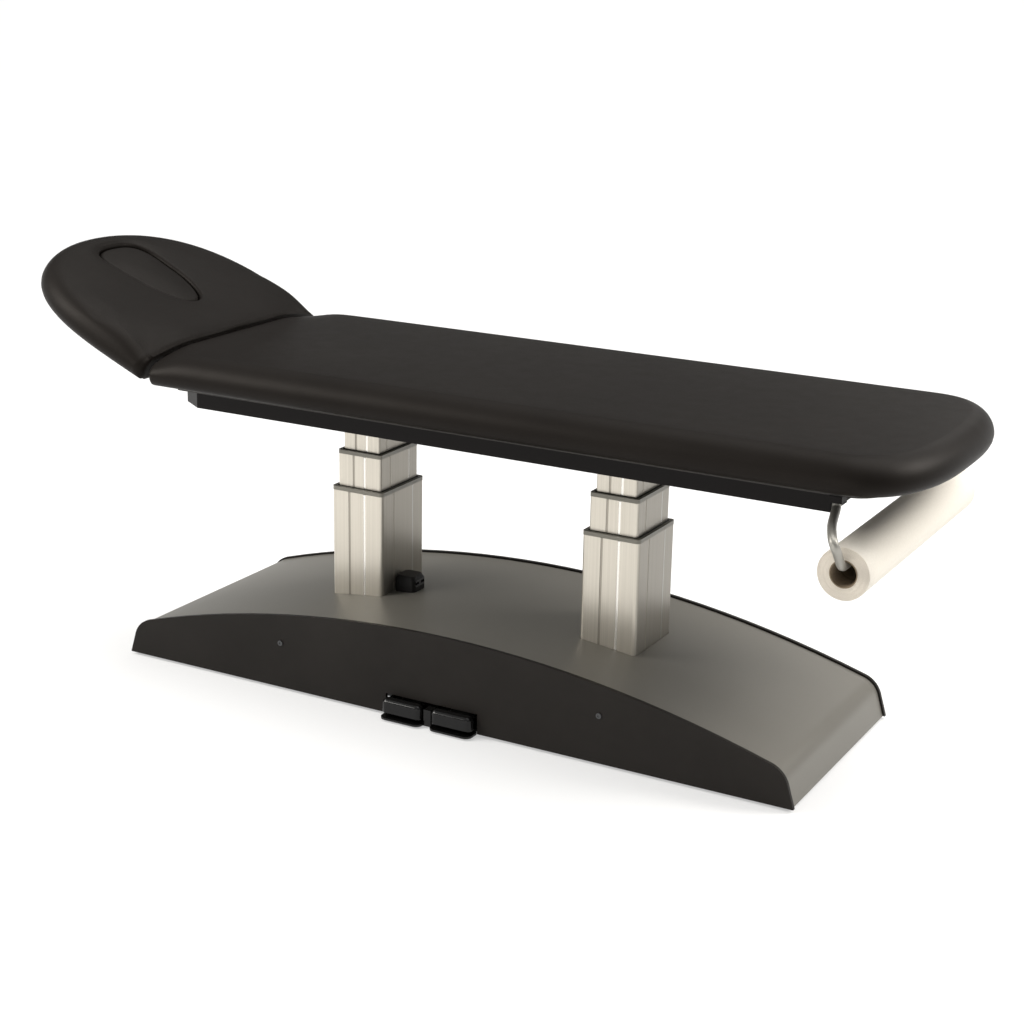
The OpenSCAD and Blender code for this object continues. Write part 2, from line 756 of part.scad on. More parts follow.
module middle_glides(i) color(zinc) translate([column_xs[i], 0, 0]) glides(middle, outer, middle_z + glide_h / 2);

module left_middle_glides() middle_glides(0);
module right_middle_glides() middle_glides(1);

module inner_glides() color(zinc) for (x = column_xs) translate([x, 0, 0])
    glides(inner, middle, inner_z + glide_h / 2);

module inner_column(i) color(silver) translate([column_xs[i], 0, 0])
    stage(inner, inner_r, inner_z, plate_z);

module left_inner_column() inner_column(0);
module right_inner_column() inner_column(1);

screw_clear = 4;

module nut_plates() color(dark_steel) for (x = column_xs) translate([x, 0, inner_z]) difference() {
    block([inner_x - 2 * stage_wall, inner_y - 2 * stage_wall, nut_h], [0, 0, 0]);
    translate([0, screw_y, -over]) cylinder(r = screw_r + screw_play, h = nut_h + 2 * over);
    translate([0, -screw_y, -over]) cylinder(r = screw_r + screw_clear, h = nut_h + 2 * over);
    for (sx = sides, sy = sides)
        translate([sx * (inner_x / 2 - stage_wall), sy * (inner_y / 2 - stage_wall), -over])
            cylinder(r = inner_r, h = nut_h + 2 * over);
}

// Top frame

cross_x = 55;
plate_bolt_y = 80;
top_plate = [2 * cross_x + frame_t, 2 * plate_bolt_y + frame_t];
side_y = frame_w / 2 - frame_t;

module plate_bolt_places() for (x = column_xs, sx = sides, sy = sides)
    translate([x + sx * cross_x, sy * plate_bolt_y, 0]) children();

module top_plates() color(dark_steel) difference() {
    for (x = column_xs) block([top_plate[0], top_plate[1], top_plate_t], [x, 0, plate_z]);
    plate_bolt_places() translate([0, 0, plate_z - over]) cylinder(r = bolt_r, h = top_plate_t + 2 * over);
}

module top_plate_bolts() color(zinc) plate_bolt_places() translate([0, 0, plate_z]) {
    cylinder(r = bolt_r, h = top_plate_t + frame_wall);
    translate([0, 0, -bolt_head_h]) cylinder(r = bolt_head_r, h = bolt_head_h, $fn = 6);
}

module frame_side_rails() color(black) pair_y() {
    tube_x(frame_x0 + corner_x, frame_x1, side_y, frame_z, frame_t, frame_h, frame_wall);
    translate([0, 0, frame_z]) linear_extrude(frame_h) polygon([[frame_x0 + corner_x, frame_w / 2],
        [frame_x0, frame_w / 2 - corner_y], [frame_x0, side_y - corner_y / 2],
        [frame_x0 + frame_t, side_y - corner_y / 2], [frame_x0 + corner_x, side_y]]);
}

module frame_cross_rails() color(black) difference() {
    union() {
        tube_y(-side_y + corner_y / 2, side_y - corner_y / 2, frame_x0, frame_z, frame_t, frame_h, frame_wall);
        tube_y(-side_y, side_y, frame_x1 - frame_t, frame_z, frame_t, frame_h, frame_wall);
        for (x = column_xs, dx = sides)
            tube_y(-side_y, side_y, x + dx * cross_x - frame_t / 2, frame_z, frame_t, frame_h, frame_wall);
    }
    plate_bolt_places() translate([0, 0, frame_z - over]) cylinder(r = bolt_r + screw_play, h = frame_wall + 2 * over);
    holder_screw_places() rod_x(holder_screw_r + screw_play, frame_x1 - 2 * frame_wall, frame_x1 + over);
}

// Cushions and boards

// Points on a quarter circle, n steps from angle a
function quarter(at, r, a, n) = [for (i = [0 : n]) at + r * [cos(a + 90 * i / n), sin(a + 90 * i / n)]];

// Points between two corners, drawn in sideways at the middle
function side_line(p, q, draw, n) =
    let (d = q - p, in = [-d[1], d[0]] / norm(d))
    [for (i = [1 : n]) p + d * i / (n + 1) + in * draw * sin(180 * i / (n + 1))];

corner_n = 6;
side_n = 7;
end_n = 3;
corner_min_share = 0.1;
// How much of the edge rounding the seam ends get
seam_share = 0.3;

// Outline of the body cushion drawn in by d, less at the seam; its foot end is a blunt half oval
oval_n = 12;
oval_power = 0.75;

function body_points(d) =
    let (x0 = seam_x + seam_share * d, h = body_w / 2 - d, xf = seam_x + body_l - foot_end_l,
        l = max(foot_end_l - d, corner_min_share * foot_end_l),
        rn = max(near_corner_r - d / 3, corner_min_share * near_corner_r))
    concat(
        side_line([xf, h], [x0 + rn, h], 0, side_n),
        quarter([x0 + rn, h - rn], rn, 90, corner_n),
        side_line([x0, h - rn], [x0, rn - h], 0, end_n),
        quarter([x0 + rn, rn - h], rn, 180, corner_n),
        side_line([x0 + rn, -h], [xf, -h], 0, side_n),
        [for (i = [-oval_n : oval_n]) let (a = 90 * i / oval_n)
            [xf + l * pow(cos(a), oval_power), h * sign(i) * pow(abs(sin(a)), oval_power)]]);

// Plan of the head cushion, a blunt half oval
head_p = 3.5;
head_q = 2.1;
head_n = 18;

function head_points(d) =
    let (u0 = head_gap + seam_share * d, len = head_l - d - seam_share * d, h = head_half_w - d,
        arc = [for (i = [0 : head_n])
            let (s = sin(90 * (1 - pow(1 - i / head_n, 1.5)))) [u0 + len * s, h * pow(1 - pow(s, head_p), 1 / head_q)]])
    concat([for (p = arc) [-p[0], p[1]]],
        [for (i = [head_n - 1 : -1 : 0]) [-arc[i][0], -arc[i][1]]],
        side_line([-u0, -h], [-u0, h], 0, end_n));

// Egg-shaped outline of the breathing hole grown by g, in the head section's own frame
egg_share = 0.36;
egg_power = 0.71;
egg_n = 40;

function swing(v) = sign(v) * pow(abs(v), egg_power);

function egg_points(g) = [for (i = [0 : egg_n - 1]) let (a = 360 * i / egg_n)
    [-(head_gap + hole_u + (hole_a + g) * swing(cos(a))),
        -(hole_b + g) * (1 + egg_share * cos(a)) * swing(sin(a))]];

// Closed solid over rings of equal count; at holds the middle points of its two ends
module skin(rings, at) {
    n = len(rings[0]);
    m = len(rings);
    walls = [for (j = [0 : m - 2], i = [0 : n - 1]) let (k = (i + 1) % n)
        each [[j * n + i, (j + 1) * n + k, j * n + k], [j * n + i, (j + 1) * n + i, (j + 1) * n + k]]];
    caps = [for (i = [0 : n - 1]) let (k = (i + 1) % n)
        each [[m * n, i, k], [m * n + 1, (m - 1) * n + k, (m - 1) * n + i]]];
    polyhedron(points = concat([for (ring = rings) each ring], at), faces = concat(walls, caps));
}

function span_middle(values) = (max(values) + min(values)) / 2;

function middle_of(points) = [span_middle([for (p = points) p[0]]), span_middle([for (p = points) p[1]])];

// Solid through flat outlines at the given heights, lowest first
module loft(outlines, heights) {
    top = len(heights) - 1;
    low_at = middle_of(outlines[0]);
    top_at = middle_of(outlines[top]);
    skin([for (j = [0 : top]) [for (p = outlines[j]) [p[0], p[1], heights[j]]]],
        [[low_at[0], low_at[1], heights[0]], [top_at[0], top_at[1], heights[top]]]);
}

// Side shape of a cushion of thickness t and upper rounding e: [drawn in, height] from its underside up
low_steps = 3;
top_steps = 6;

function edge_side(t, e) = concat(
    [for (i = [0 : low_steps - 1]) let (a = 90 * i / low_steps)
        [edge_low_r * (1 - sin(a)), edge_low_r * (1 - cos(a))]],
    [for (i = [0 : top_steps]) let (a = 90 * i / top_steps)
        [e * (1 - cos(a)), edge_low_r + (t - edge_low_r) * sin(a)]]);

crown_shares = [0.4, 0.75, 0.94, 1];
crown_inset_shares = [0.22, 0.42, 0.66, 0.9];

// The same, with the crown that rises over a half width of w
function cushion_side(t, e, w) = concat(edge_side(t, e), [for (i = [0 : len(crown_shares) - 1])
    [e + (w - e) * crown_inset_shares[i], t + crown * crown_shares[i]]]);

module body_board() color(black) translate([0, 0, frame_top]) linear_extrude(board_t)
    polygon(body_points(board_inset));

module body_cushion() color(vinyl) translate([0, 0, cushion_z]) loft(
    [for (p = cushion_side(cushion_t, edge_w, body_w / 2)) body_points(p[0])],
    [for (p = cushion_side(cushion_t, edge_w, body_w / 2)) p[1]]);

// Head section, drawn level with its hinge axis at the origin and its head end towards -X

head_seat = 4;

module tilted() translate([pivot_x, 0, pivot_z]) rotate([0, head_tilt, 0]) children();

arm_reach = 112;
arm_drop = 22;
// Where the webs of brackets and arms start inside their eyes
root_r = 0.85 * eye_r;

module hinge_brackets() color(dark_steel) pair_y() upright_plate(hinge_y, hinge_y + arm_t) difference() {
    union() {
        translate([pivot_x, pivot_z]) circle(r = eye_r);
        polygon([[pivot_x, pivot_z] + root_r * [cos(20), sin(20)], [frame_x0, frame_top - eye_r],
            [frame_x0, frame_z + eye_r], [pivot_x, pivot_z] + root_r * [cos(200), sin(200)]]);
    }
    translate([pivot_x, pivot_z]) circle(r = pin_r + screw_play);
}

module hinge_pins() color(zinc) translate([pivot_x, 0, pivot_z]) pair_y() {
    rod_y(pin_r, hinge_y - arm_t - 2 * play, hinge_y + arm_t + play);
    rod_y(eye_r - 2 * play, hinge_y + arm_t + play, hinge_y + 1.5 * arm_t);
}

module hinge_arms() color(dark_steel) tilted() pair_y()
    upright_plate(hinge_y - arm_t - play, hinge_y - play) difference() {
        union() {
            circle(r = eye_r);
            polygon([root_r * [cos(120), sin(120)], [play - head_gap - seam_share * head_board_inset, head_seat - board_t],
                [-arm_reach, head_seat - board_t], [-arm_reach, head_seat - board_t - eye_r],
                [-arm_reach / 2, -arm_drop], root_r * [cos(290), sin(290)]]);
        }
        circle(r = pin_r + screw_play);
    }

module head_board() color(black) tilted() translate([0, 0, head_seat - board_t]) linear_extrude(board_t)
    difference() {
        polygon(head_points(head_board_inset));
        polygon(egg_points(-ledge));
    }

module head_cushion() color(vinyl) tilted() translate([0, 0, head_seat]) difference() {
    loft([for (p = cushion_side(head_t - crown, head_edge_w, head_l / 2)) head_points(p[0])],
        [for (p = cushion_side(head_t - crown, head_edge_w, head_l / 2)) p[1]]);
    translate([0, 0, -over]) linear_extrude(head_t + 2 * over) polygon(egg_points(0));
}

plug_play = 0.8;
plug_heights = [0, 0.06, 0.84, 0.94, 1, 1.025, 1.035];
plug_insets = [3.5, 0, 0, 2, 7, 20, 40];

module face_plug() color(vinyl) tilted() translate([0, 0, head_seat + play])
    loft([for (d = plug_insets) egg_points(-plug_play - d)], [for (s = plug_heights) (head_t - play) * s]);

// Paper roll and its holder

holder_plate = [3, 76];
holder_block = [24, 26];
holder_block_h = 12;
holder_x = frame_x1 + holder_plate[0] + bar_r + play;
holder_y = -frame_w / 2;
bar_z = roll_z + core_r - bar_r - play;
holder_screw_r = 3;
holder_screw_head = 5;
holder_screw_ys = [40, 64];

module holder_screw_places() for (y = holder_screw_ys)
    translate([0, holder_y + y, frame_z + frame_h / 2]) children();

module roll_holder_plate() color(dark_steel) difference() {
    union() {
        translate([frame_x1, holder_y, frame_z]) cube([holder_plate[0], holder_plate[1], frame_h]);
        translate([frame_x1, holder_y - holder_block[1] / 2, frame_top - holder_block_h])
            cube([holder_block[0], holder_block[1], holder_block_h]);
    }
    translate([holder_x, holder_y, frame_z]) cylinder(r = bar_r + play, h = 2 * frame_h);
    holder_screw_places() rod_x(holder_screw_r + screw_play, frame_x1 - over, frame_x1 + holder_plate[0] + over);
}

module roll_holder_screws() color(zinc) holder_screw_places() {
    rod_x(holder_screw_r, frame_x1 - frame_wall, frame_x1 + holder_plate[0]);
    rod_x(holder_screw_head, frame_x1 + holder_plate[0], frame_x1 + holder_plate[0] + holder_screw_r);
}

// Middle line of the arm, in shares of the way from its clamp to the near end of the bar
arm_shares = [[0, 0, 0], [0, 0, 0.1], [0, 0.01, 0.15], [0.035, 0.114, 0.228], [0.18, 0.5, 0.296],
    [0.438, 1.043, 0.33], [0.766, 1.529, 0.416], [0.953, 1.657, 0.527], [1, 1.529, 0.659], [1, 1.286, 0.872],
    [1, 1.136, 0.969], [1, 1, 1]];
arm_gap = 2;
arm_from = [holder_x, holder_y, frame_top - arm_gap];
arm_way = [roll_x, roll_y0 - 1, bar_z] - arm_from;
arm_steps = 3;
arm_sides = 16;
arm_ref = [0.93, 0.36, 0];

function arm_at(i) =
    let (s = arm_shares[max(0, min(len(arm_shares) - 1, i))])
    arm_from + [s[0] * arm_way[0], s[1] * arm_way[1], s[2] * arm_way[2]];

function spline(a, b, c, d, t) =
    b + (c - a) * t / 2 + (2 * a - 5 * b + 4 * c - d) * t * t / 2 + (3 * b - a - 3 * c + d) * t * t * t / 2;

arm_line = concat([for (i = [0 : len(arm_shares) - 2], j = [0 : arm_steps - 1])
    spline(arm_at(i - 1), arm_at(i), arm_at(i + 1), arm_at(i + 2), j / arm_steps)],
    [arm_at(len(arm_shares) - 1)]);

function unit(v) = v / norm(v);

function arm_ring(i) =
    let (last = len(arm_line) - 1,
        along = i == 0 ? [0, 0, -1] : i == last ? [0, 1, 0] : unit(arm_line[i + 1] - arm_line[i - 1]),
        across = unit(cross(along, arm_ref)),
        up = cross(along, across))
    [for (j = [0 : arm_sides - 1])
        arm_line[i] + bar_r * (cos(360 * j / arm_sides) * across + sin(360 * j / arm_sides) * up)];

module roll_holder_arm() color(zinc) skin([for (i = [0 : len(arm_line) - 1]) arm_ring(i)],
    [arm_line[0], arm_line[len(arm_line) - 1]]);

bar_end = 16;

module roll_holder_bar() color(zinc) translate([roll_x, 0, bar_z])
    rod_y(bar_r, roll_y0 - 1, roll_y0 + roll_l + bar_end);

module roll_tube(r0, r1) translate([roll_x, 0, roll_z]) difference() {
    rod_y(r1, roll_y0, roll_y0 + roll_l);
    rod_y(r0, roll_y0 - over, roll_y0 + roll_l + over);
}

module roll_core() color(card) roll_tube(core_r, core_r + core_wall);

module paper_roll() color(paper) roll_tube(core_r + core_wall, roll_r);

base_chassis();
levelling_feet();
base_cover();
front_side_panel();
rear_side_panel();
panel_screws();
column_foot_plates();
foot_plate_bolts();
left_outer_column();
right_outer_column();
left_outer_collar();
right_outer_collar();
left_column_motor();
right_column_motor();
control_box();
motor_cables();
supply_cables();
mains_inlet();
power_switch();
socket_block();
socket_faces();
foot_control_housing();
foot_control_tray();
up_pedal();
down_pedal();
left_lower_screw();
right_lower_screw();
left_middle_column();
right_middle_column();
left_middle_collar();
right_middle_collar();
left_transfer_gearbox();
right_transfer_gearbox();
left_middle_glides();
right_middle_glides();
left_upper_screw();
right_upper_screw();
left_inner_column();
right_inner_column();
inner_glides();
nut_plates();
top_plates();
top_plate_bolts();
frame_side_rails();
frame_cross_rails();
body_board();
body_cushion();
hinge_brackets();
hinge_pins();
hinge_arms();
head_board();
head_cushion();
face_plug();
roll_holder_plate();
roll_holder_screws();
roll_holder_arm();
roll_holder_bar();
roll_core();
paper_roll();
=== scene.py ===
"""Looks of the examination table: cushions, finishes, camera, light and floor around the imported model."""
import json
import math

import bmesh
import bpy
import numpy as np
from mathutils import Matrix, Vector


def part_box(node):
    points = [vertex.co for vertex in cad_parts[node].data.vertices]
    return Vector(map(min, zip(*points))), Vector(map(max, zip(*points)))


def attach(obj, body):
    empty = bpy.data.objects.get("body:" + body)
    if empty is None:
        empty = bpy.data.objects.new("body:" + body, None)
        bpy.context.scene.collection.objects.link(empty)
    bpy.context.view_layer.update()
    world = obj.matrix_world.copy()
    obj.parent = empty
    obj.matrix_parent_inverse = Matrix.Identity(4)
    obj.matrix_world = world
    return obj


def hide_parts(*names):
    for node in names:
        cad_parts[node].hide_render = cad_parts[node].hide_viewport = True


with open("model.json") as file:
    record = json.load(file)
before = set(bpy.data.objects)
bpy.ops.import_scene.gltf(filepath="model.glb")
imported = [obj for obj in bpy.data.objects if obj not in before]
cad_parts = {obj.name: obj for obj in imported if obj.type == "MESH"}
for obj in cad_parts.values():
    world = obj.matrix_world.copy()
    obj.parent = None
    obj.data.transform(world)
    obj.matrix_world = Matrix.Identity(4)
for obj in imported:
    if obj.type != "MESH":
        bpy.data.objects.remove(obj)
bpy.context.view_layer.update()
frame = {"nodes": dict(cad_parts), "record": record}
nodes = frame["nodes"]
record = frame["record"]
slot_of = {part["node"]: part["material_slot"] for part in record["subparts"]}
body_of = {node: body for body, members in record["behaviour"]["bodies"].items() for node in members}

# Camera

CAMERA_AT = (1.8678, -3.2770, 1.5153)
CAMERA_LENS = 68.67
SENSOR_WIDTH = 36
CAMERA_REACH = 200
CAMERA_TURN = math.radians(28.71)
CAMERA_TILT = math.radians(16.94)
CAMERA_ROLL = math.radians(1.10)


def add_camera():
    """A camera where the photograph was taken from: turned, tilted down and rolled a little."""
    turn, tilt, roll = CAMERA_TURN, CAMERA_TILT, CAMERA_ROLL
    back = Vector((math.sin(turn) * math.cos(tilt), -math.cos(turn) * math.cos(tilt), math.sin(tilt)))
    right = Vector((math.cos(turn), math.sin(turn), 0))
    up = back.cross(right)
    side = right * math.cos(roll) + up * math.sin(roll)
    top = up * math.cos(roll) - right * math.sin(roll)
    data = bpy.data.cameras.new("camera")
    data.lens = CAMERA_LENS
    data.sensor_width = SENSOR_WIDTH
    data.clip_end = CAMERA_REACH
    camera = bpy.data.objects.new("camera", data)
    axes = Matrix((side, top, back)).transposed().to_4x4()
    camera.matrix_world = Matrix.Translation(CAMERA_AT) @ axes
    bpy.context.scene.collection.objects.link(camera)
    bpy.context.scene.camera = camera


add_camera()

# Nodes of the finishes

# Sockets of a colour Mix node, whose names are shared with its other sockets
MIX_FACTOR, MIX_FIRST, MIX_SECOND, MIX_RESULT = 0, 6, 7, 2


class Flow:
    """One output socket of some nodes, which can be used in arithmetic."""

    def __init__(self, owner, socket):
        self.owner, self.socket = owner, socket

    def math(self, operation, other=0, clamp=False):
        settings = {"operation": operation, "use_clamp": clamp}
        return self.owner.node("ShaderNodeMath", settings, {0: self, 1: other})

    def __add__(self, other):
        return self.math("ADD", other)

    def __sub__(self, other):
        return self.math("SUBTRACT", other)

    def __mul__(self, other):
        return self.math("MULTIPLY", other)

    def __truediv__(self, other):
        return self.math("DIVIDE", other)

    def __rsub__(self, other):
        return self * -1 + other

    __radd__ = __add__
    __rmul__ = __mul__

    def between(self, low, high):
        """0 below low, 1 above high, straight between them."""
        return ((self - low) / (high - low)).math("ADD", clamp=True)


class Nodes:
    """A node tree, and the one way in which nodes are added to it."""

    def __init__(self, tree):
        self.tree = tree

    def feed(self, socket, value):
        """Links a flow to an input socket, or sets its value."""
        if isinstance(value, Flow):
            self.tree.links.new(value.socket, socket)
        else:
            socket.default_value = value

    def node(self, kind, settings=None, inputs=None, output=0):
        """A new node: its settings first, then its inputs. One of its outputs comes back as a flow."""
        made = self.tree.nodes.new(kind)
        for key, value in (settings or {}).items():
            if key == "stops":
                ramp = made.color_ramp.elements
                while len(ramp) < len(value):
                    ramp.new(0.5)
                for element, (place, colour) in zip(ramp, value):
                    element.position, element.color = place, (*colour, 1)
            else:
                setattr(made, key, value)
        for key, value in (inputs or {}).items():
            self.feed(made.inputs[key], value)
        return Flow(self, made.outputs[output])


class Finish(Nodes):
    """A material of one Principled BSDF, its constant values, and the nodes that vary the others."""

    def __init__(self, name, colour, roughness, metallic=0.0, **constants):
        self.material = bpy.data.materials.new(name)
        self.material.use_nodes = True
        self.material.diffuse_color = (*colour, 1)
        super().__init__(self.material.node_tree)
        self.shader = next(n for n in self.tree.nodes if n.type == "BSDF_PRINCIPLED")
        self.set("Base Color", (*colour, 1))
        self.set("Roughness", roughness)
        self.set("Metallic", metallic)
        for key, value in constants.items():
            self.set(key.replace("_", " "), value)

    def set(self, name, value):
        """Links a flow to one of the shader's sockets, or sets its value."""
        self.feed(self.shader.inputs[name], value)

    def place(self, stretch=(1, 1, 1)):
        """Places on the object, in metres times a stretch along X, Y and Z."""
        where = self.node("ShaderNodeTexCoord", output="Object")
        return self.node("ShaderNodeMapping", {}, {"Vector": where, "Scale": stretch})

    def noise(self, grains, detail=2, rough=0.5, twist=0.0):
        """Noise with a number of grains to the metre: one number, or one each for X, Y and Z."""
        stretch, scale = (grains, 1) if isinstance(grains, tuple) else ((1, 1, 1), grains)
        return self.node("ShaderNodeTexNoise", {}, {"Vector": self.place(stretch), "Scale": scale,
                         "Detail": detail, "Roughness": rough, "Distortion": twist})

    def cells(self, grains, feature="F1"):
        """Distance to the middle of the nearest cell, with a number of cells to the metre."""
        inputs = {"Vector": self.place(), "Scale": grains}
        return self.node("ShaderNodeTexVoronoi", {"feature": feature}, inputs)

    def bands(self, direction, stretch, scale, distortion):
        """Waves that run along one axis."""
        return self.node("ShaderNodeTexWave", {"wave_type": "BANDS", "bands_direction": direction},
                         {"Vector": self.place(stretch), "Scale": scale, "Distortion": distortion})

    def blend(self, mask, first, second):
        """From the first colour to the second, as the mask goes from 0 to 1."""
        first, second = ((*c, 1) if isinstance(c, tuple) else c for c in (first, second))
        return self.node("ShaderNodeMix", {"data_type": "RGBA"},
                         {MIX_FACTOR: mask, MIX_FIRST: first, MIX_SECOND: second}, MIX_RESULT)

    def bump(self, height, depth, strength, over=None):
        """Relief of a depth in metres, over another relief if there is one."""
        inputs = {"Height": height, "Distance": depth, "Strength": strength}
        if over is not None:
            inputs["Normal"] = over
        return self.node("ShaderNodeBump", {}, inputs)


# Finishes

METAL_SHARE = 0.72
# Share of the colour kept on the faces towards X, as painted shade: of the columns, and of the bright strips
WIDE_FACE_SHADE, WIDE_STRIP_SHADE = 0.46, 0.42
ROLL_AXIS = (0.866, 0.0, 0.4727)


def vinyl_finish():
    """Coated upholstery cloth: fine pebble grain over faint soft waves."""
    f = Finish("vinyl", (0.0072, 0.0065, 0.0058), 0.5, Specular_IOR_Level=0.098,
               Specular_Tint=(1.0, 0.92, 0.85, 1))
    pebbles = f.cells(780, "SMOOTH_F1")
    pores = f.noise(2100, detail=3, rough=0.6)
    clouds = f.noise(5, detail=3, rough=0.6).between(0.35, 0.7)
    handled = f.noise(30, detail=4, rough=0.65)
    waves = f.bump(f.noise(9), depth=0.0010, strength=0.35)
    f.set("Base Color", f.blend(clouds, (0.0066, 0.0053, 0.0045), (0.0084, 0.0069, 0.0059)))
    f.set("Roughness", 0.42 + handled * 0.08 + pebbles * 0.05)
    f.set("Normal", f.bump(pebbles * 0.8 + pores * 0.35, depth=0.00020, strength=0.5, over=waves))
    return f.material


def anodised_finish(name, dark, light, roughness, wide_shade=WIDE_FACE_SHADE):
    """Extruded aluminium, satin anodised: fine lengthways lines; the faces towards X are a little rougher and
    get painted shade, their colour darkened as shade falls on them.
    """
    f = Finish(name, light, roughness, METAL_SHARE)
    lines = f.noise((300, 300, 0.7), detail=3, rough=0.7)
    hair = f.noise((1900, 1900, 4), rough=0.6)
    normal = f.node("ShaderNodeTexCoord", output="Normal")
    sideways = f.node("ShaderNodeSeparateXYZ", {}, {"Vector": normal}, "X")
    # Painted shade: the faces towards X are darkened as if they stood in shade, and made a little rougher
    painted_shade_faces = sideways.math("ABSOLUTE").between(0.55, 0.95)
    drawn = lines.between(0.25, 0.75)
    shaded_dark, shaded_light = (tuple(c * wide_shade for c in colour) for colour in (dark, light))
    narrow, wide = f.blend(drawn, dark, light), f.blend(drawn, shaded_dark, shaded_light)
    f.set("Base Color", f.blend(painted_shade_faces, narrow, wide))
    f.set("Roughness", roughness - 0.03 + lines * 0.08 + hair * 0.05 + painted_shade_faces * 0.05)
    f.set("Normal", f.bump(lines * 0.4 + hair * 0.6, depth=0.00005, strength=0.35))
    return f.material


def powder_finish(name, colour, light, roughness, metallic=0.0, peel=0.00016, **constants):
    """Powder coat: orange-peel skin, faint cloudy tone."""
    f = Finish(name, colour, roughness, metallic, **constants)
    skin = f.noise(620, detail=3, rough=0.55)
    grit = f.noise(2600)
    clouds = f.noise(4, detail=4, rough=0.6)
    f.set("Base Color", f.blend(clouds * 0.7 + grit * 0.3, colour, light))
    f.set("Roughness", roughness - 0.05 + skin * 0.1)
    f.set("Normal", f.bump(skin * 0.7 + grit * 0.3, depth=peel, strength=0.5))
    return f.material


def moulded_finish(name, colour, light, roughness, texture=0.00018, grains=1500, **constants):
    """Moulded plastic with a fine spark-eroded texture."""
    f = Finish(name, colour, roughness, **constants)
    sparks = f.cells(grains)
    clouds = f.noise(7, detail=3, rough=0.6).between(0.3, 0.75)
    f.set("Base Color", f.blend(clouds, colour, light))
    f.set("Roughness", roughness - 0.04 + sparks * 0.1)
    f.set("Normal", f.bump(sparks, depth=texture, strength=0.5))
    return f.material


def gloss_finish():
    """Polished black moulding with faint swirls from wiping and shoe scuffs."""
    f = Finish("gloss_black", (0.004, 0.004, 0.004), 0.2, Specular_IOR_Level=0.3)
    swirl = f.noise(18, detail=4, rough=0.6, twist=1.2)
    scuff = f.noise((40, 160, 300), detail=4, rough=0.7).between(0.62, 0.74)
    f.set("Base Color", f.blend(scuff, (0.0038, 0.0037, 0.0037), (0.0085, 0.0082, 0.0078)))
    f.set("Roughness", 0.12 + swirl * 0.07 + scuff * 0.10)
    f.set("Normal", f.bump(f.noise(60), depth=0.00008, strength=0.3))
    return f.material


def zinc_finish():
    """Zinc-plated steel with its faint crystal flowers."""
    f = Finish("zinc", (0.60, 0.61, 0.64), 0.36, 1.0)
    flowers = f.cells(160)
    f.set("Base Color", f.blend(flowers.between(0.1, 0.8), (0.66, 0.67, 0.69), (0.52, 0.54, 0.58)))
    f.set("Roughness", 0.28 + flowers * 0.1 + f.noise(900) * 0.1)
    f.set("Normal", f.bump(f.noise(1400), depth=0.00004, strength=0.4))
    return f.material


def satin_rod_finish():
    """Ground and plated rod: short fine grinding lines around it."""
    f = Finish("satin_rod", (0.31, 0.30, 0.27), 0.34, METAL_SHARE)
    grind = f.noise((260, 2600, 2600), detail=3, rough=0.6)
    stain = f.noise(20, detail=3, rough=0.6)
    f.set("Base Color", f.blend(stain.between(0.35, 0.7), (0.34, 0.33, 0.30), (0.27, 0.26, 0.235)))
    f.set("Roughness", 0.36 + grind * 0.12 + stain * 0.05)
    f.set("Normal", f.bump(grind, depth=0.00003, strength=0.5))
    return f.material


def paper_finish():
    """Crepe paper: short ridges along the roll, loose fibres."""
    f = Finish("crepe_paper", (0.80, 0.745, 0.655), 0.88, Specular_IOR_Level=0.2)
    crepe = f.noise((1100, 90, 1100), detail=3, rough=0.65, twist=0.3)
    fibre = f.noise((260, 160, 260), detail=4, rough=0.7, twist=0.8)
    f.set("Base Color", f.blend(fibre.between(0.3, 0.75), (0.69, 0.65, 0.58), (0.75, 0.71, 0.64)))
    f.set("Roughness", 0.84 + fibre * 0.1)
    f.set("Normal", f.bump(crepe * 0.7 + fibre * 0.3, depth=0.00028, strength=0.6))
    return f.material


def from_roll_axis(f):
    """Distance of a point from the roll's axis, in metres."""
    where = f.node("ShaderNodeTexCoord", output="Object")
    off = f.node("ShaderNodeVectorMath", {"operation": "SUBTRACT"}, {0: where, 1: ROLL_AXIS})
    flat = f.node("ShaderNodeVectorMath", {"operation": "MULTIPLY"}, {0: off, 1: (1, 0, 1)})
    return f.node("ShaderNodeVectorMath", {"operation": "LENGTH"}, {0: flat}, "Value")


def paper_edge_finish():
    """The cut edges of the wound sheet: fine rings, some proud, some sunk."""
    f = Finish("paper_edges", (0.72, 0.655, 0.56), 0.9, Specular_IOR_Level=0.15)
    out = from_roll_axis(f)
    turns = (out * 9500).math("SINE") * 0.5 + 0.5
    rings = f.node("ShaderNodeTexNoise", {"noise_dimensions": "1D"}, {"W": out * 900, "Detail": 4.0})
    tone = (turns * 0.35 + rings * 0.65).between(0.2, 0.8)
    f.set("Base Color", f.blend(tone, (0.60, 0.535, 0.45), (0.80, 0.745, 0.655)))
    f.set("Roughness", 0.85 + tone * 0.1)
    f.set("Normal", f.bump(tone, depth=0.0006, strength=0.8))
    return f.material


def card_finish():
    """Grey-brown wound card of the roll's core, with the laps of its winding."""
    f = Finish("card", (0.30, 0.235, 0.165), 0.85, Specular_IOR_Level=0.2)
    fibre = f.noise((420, 130, 420), detail=4, rough=0.7, twist=0.6)
    lap = f.bands("Y", stretch=(0.35, 1, 0.35), scale=6.5, distortion=0.2).between(0.0, 0.06)
    f.set("Base Color", f.blend(fibre * lap, (0.20, 0.155, 0.105), (0.36, 0.285, 0.205)))
    f.set("Roughness", 0.8 + fibre * 0.12)
    f.set("Normal", f.bump(fibre * 0.4 + lap * 0.6, depth=0.0003, strength=0.6))
    return f.material


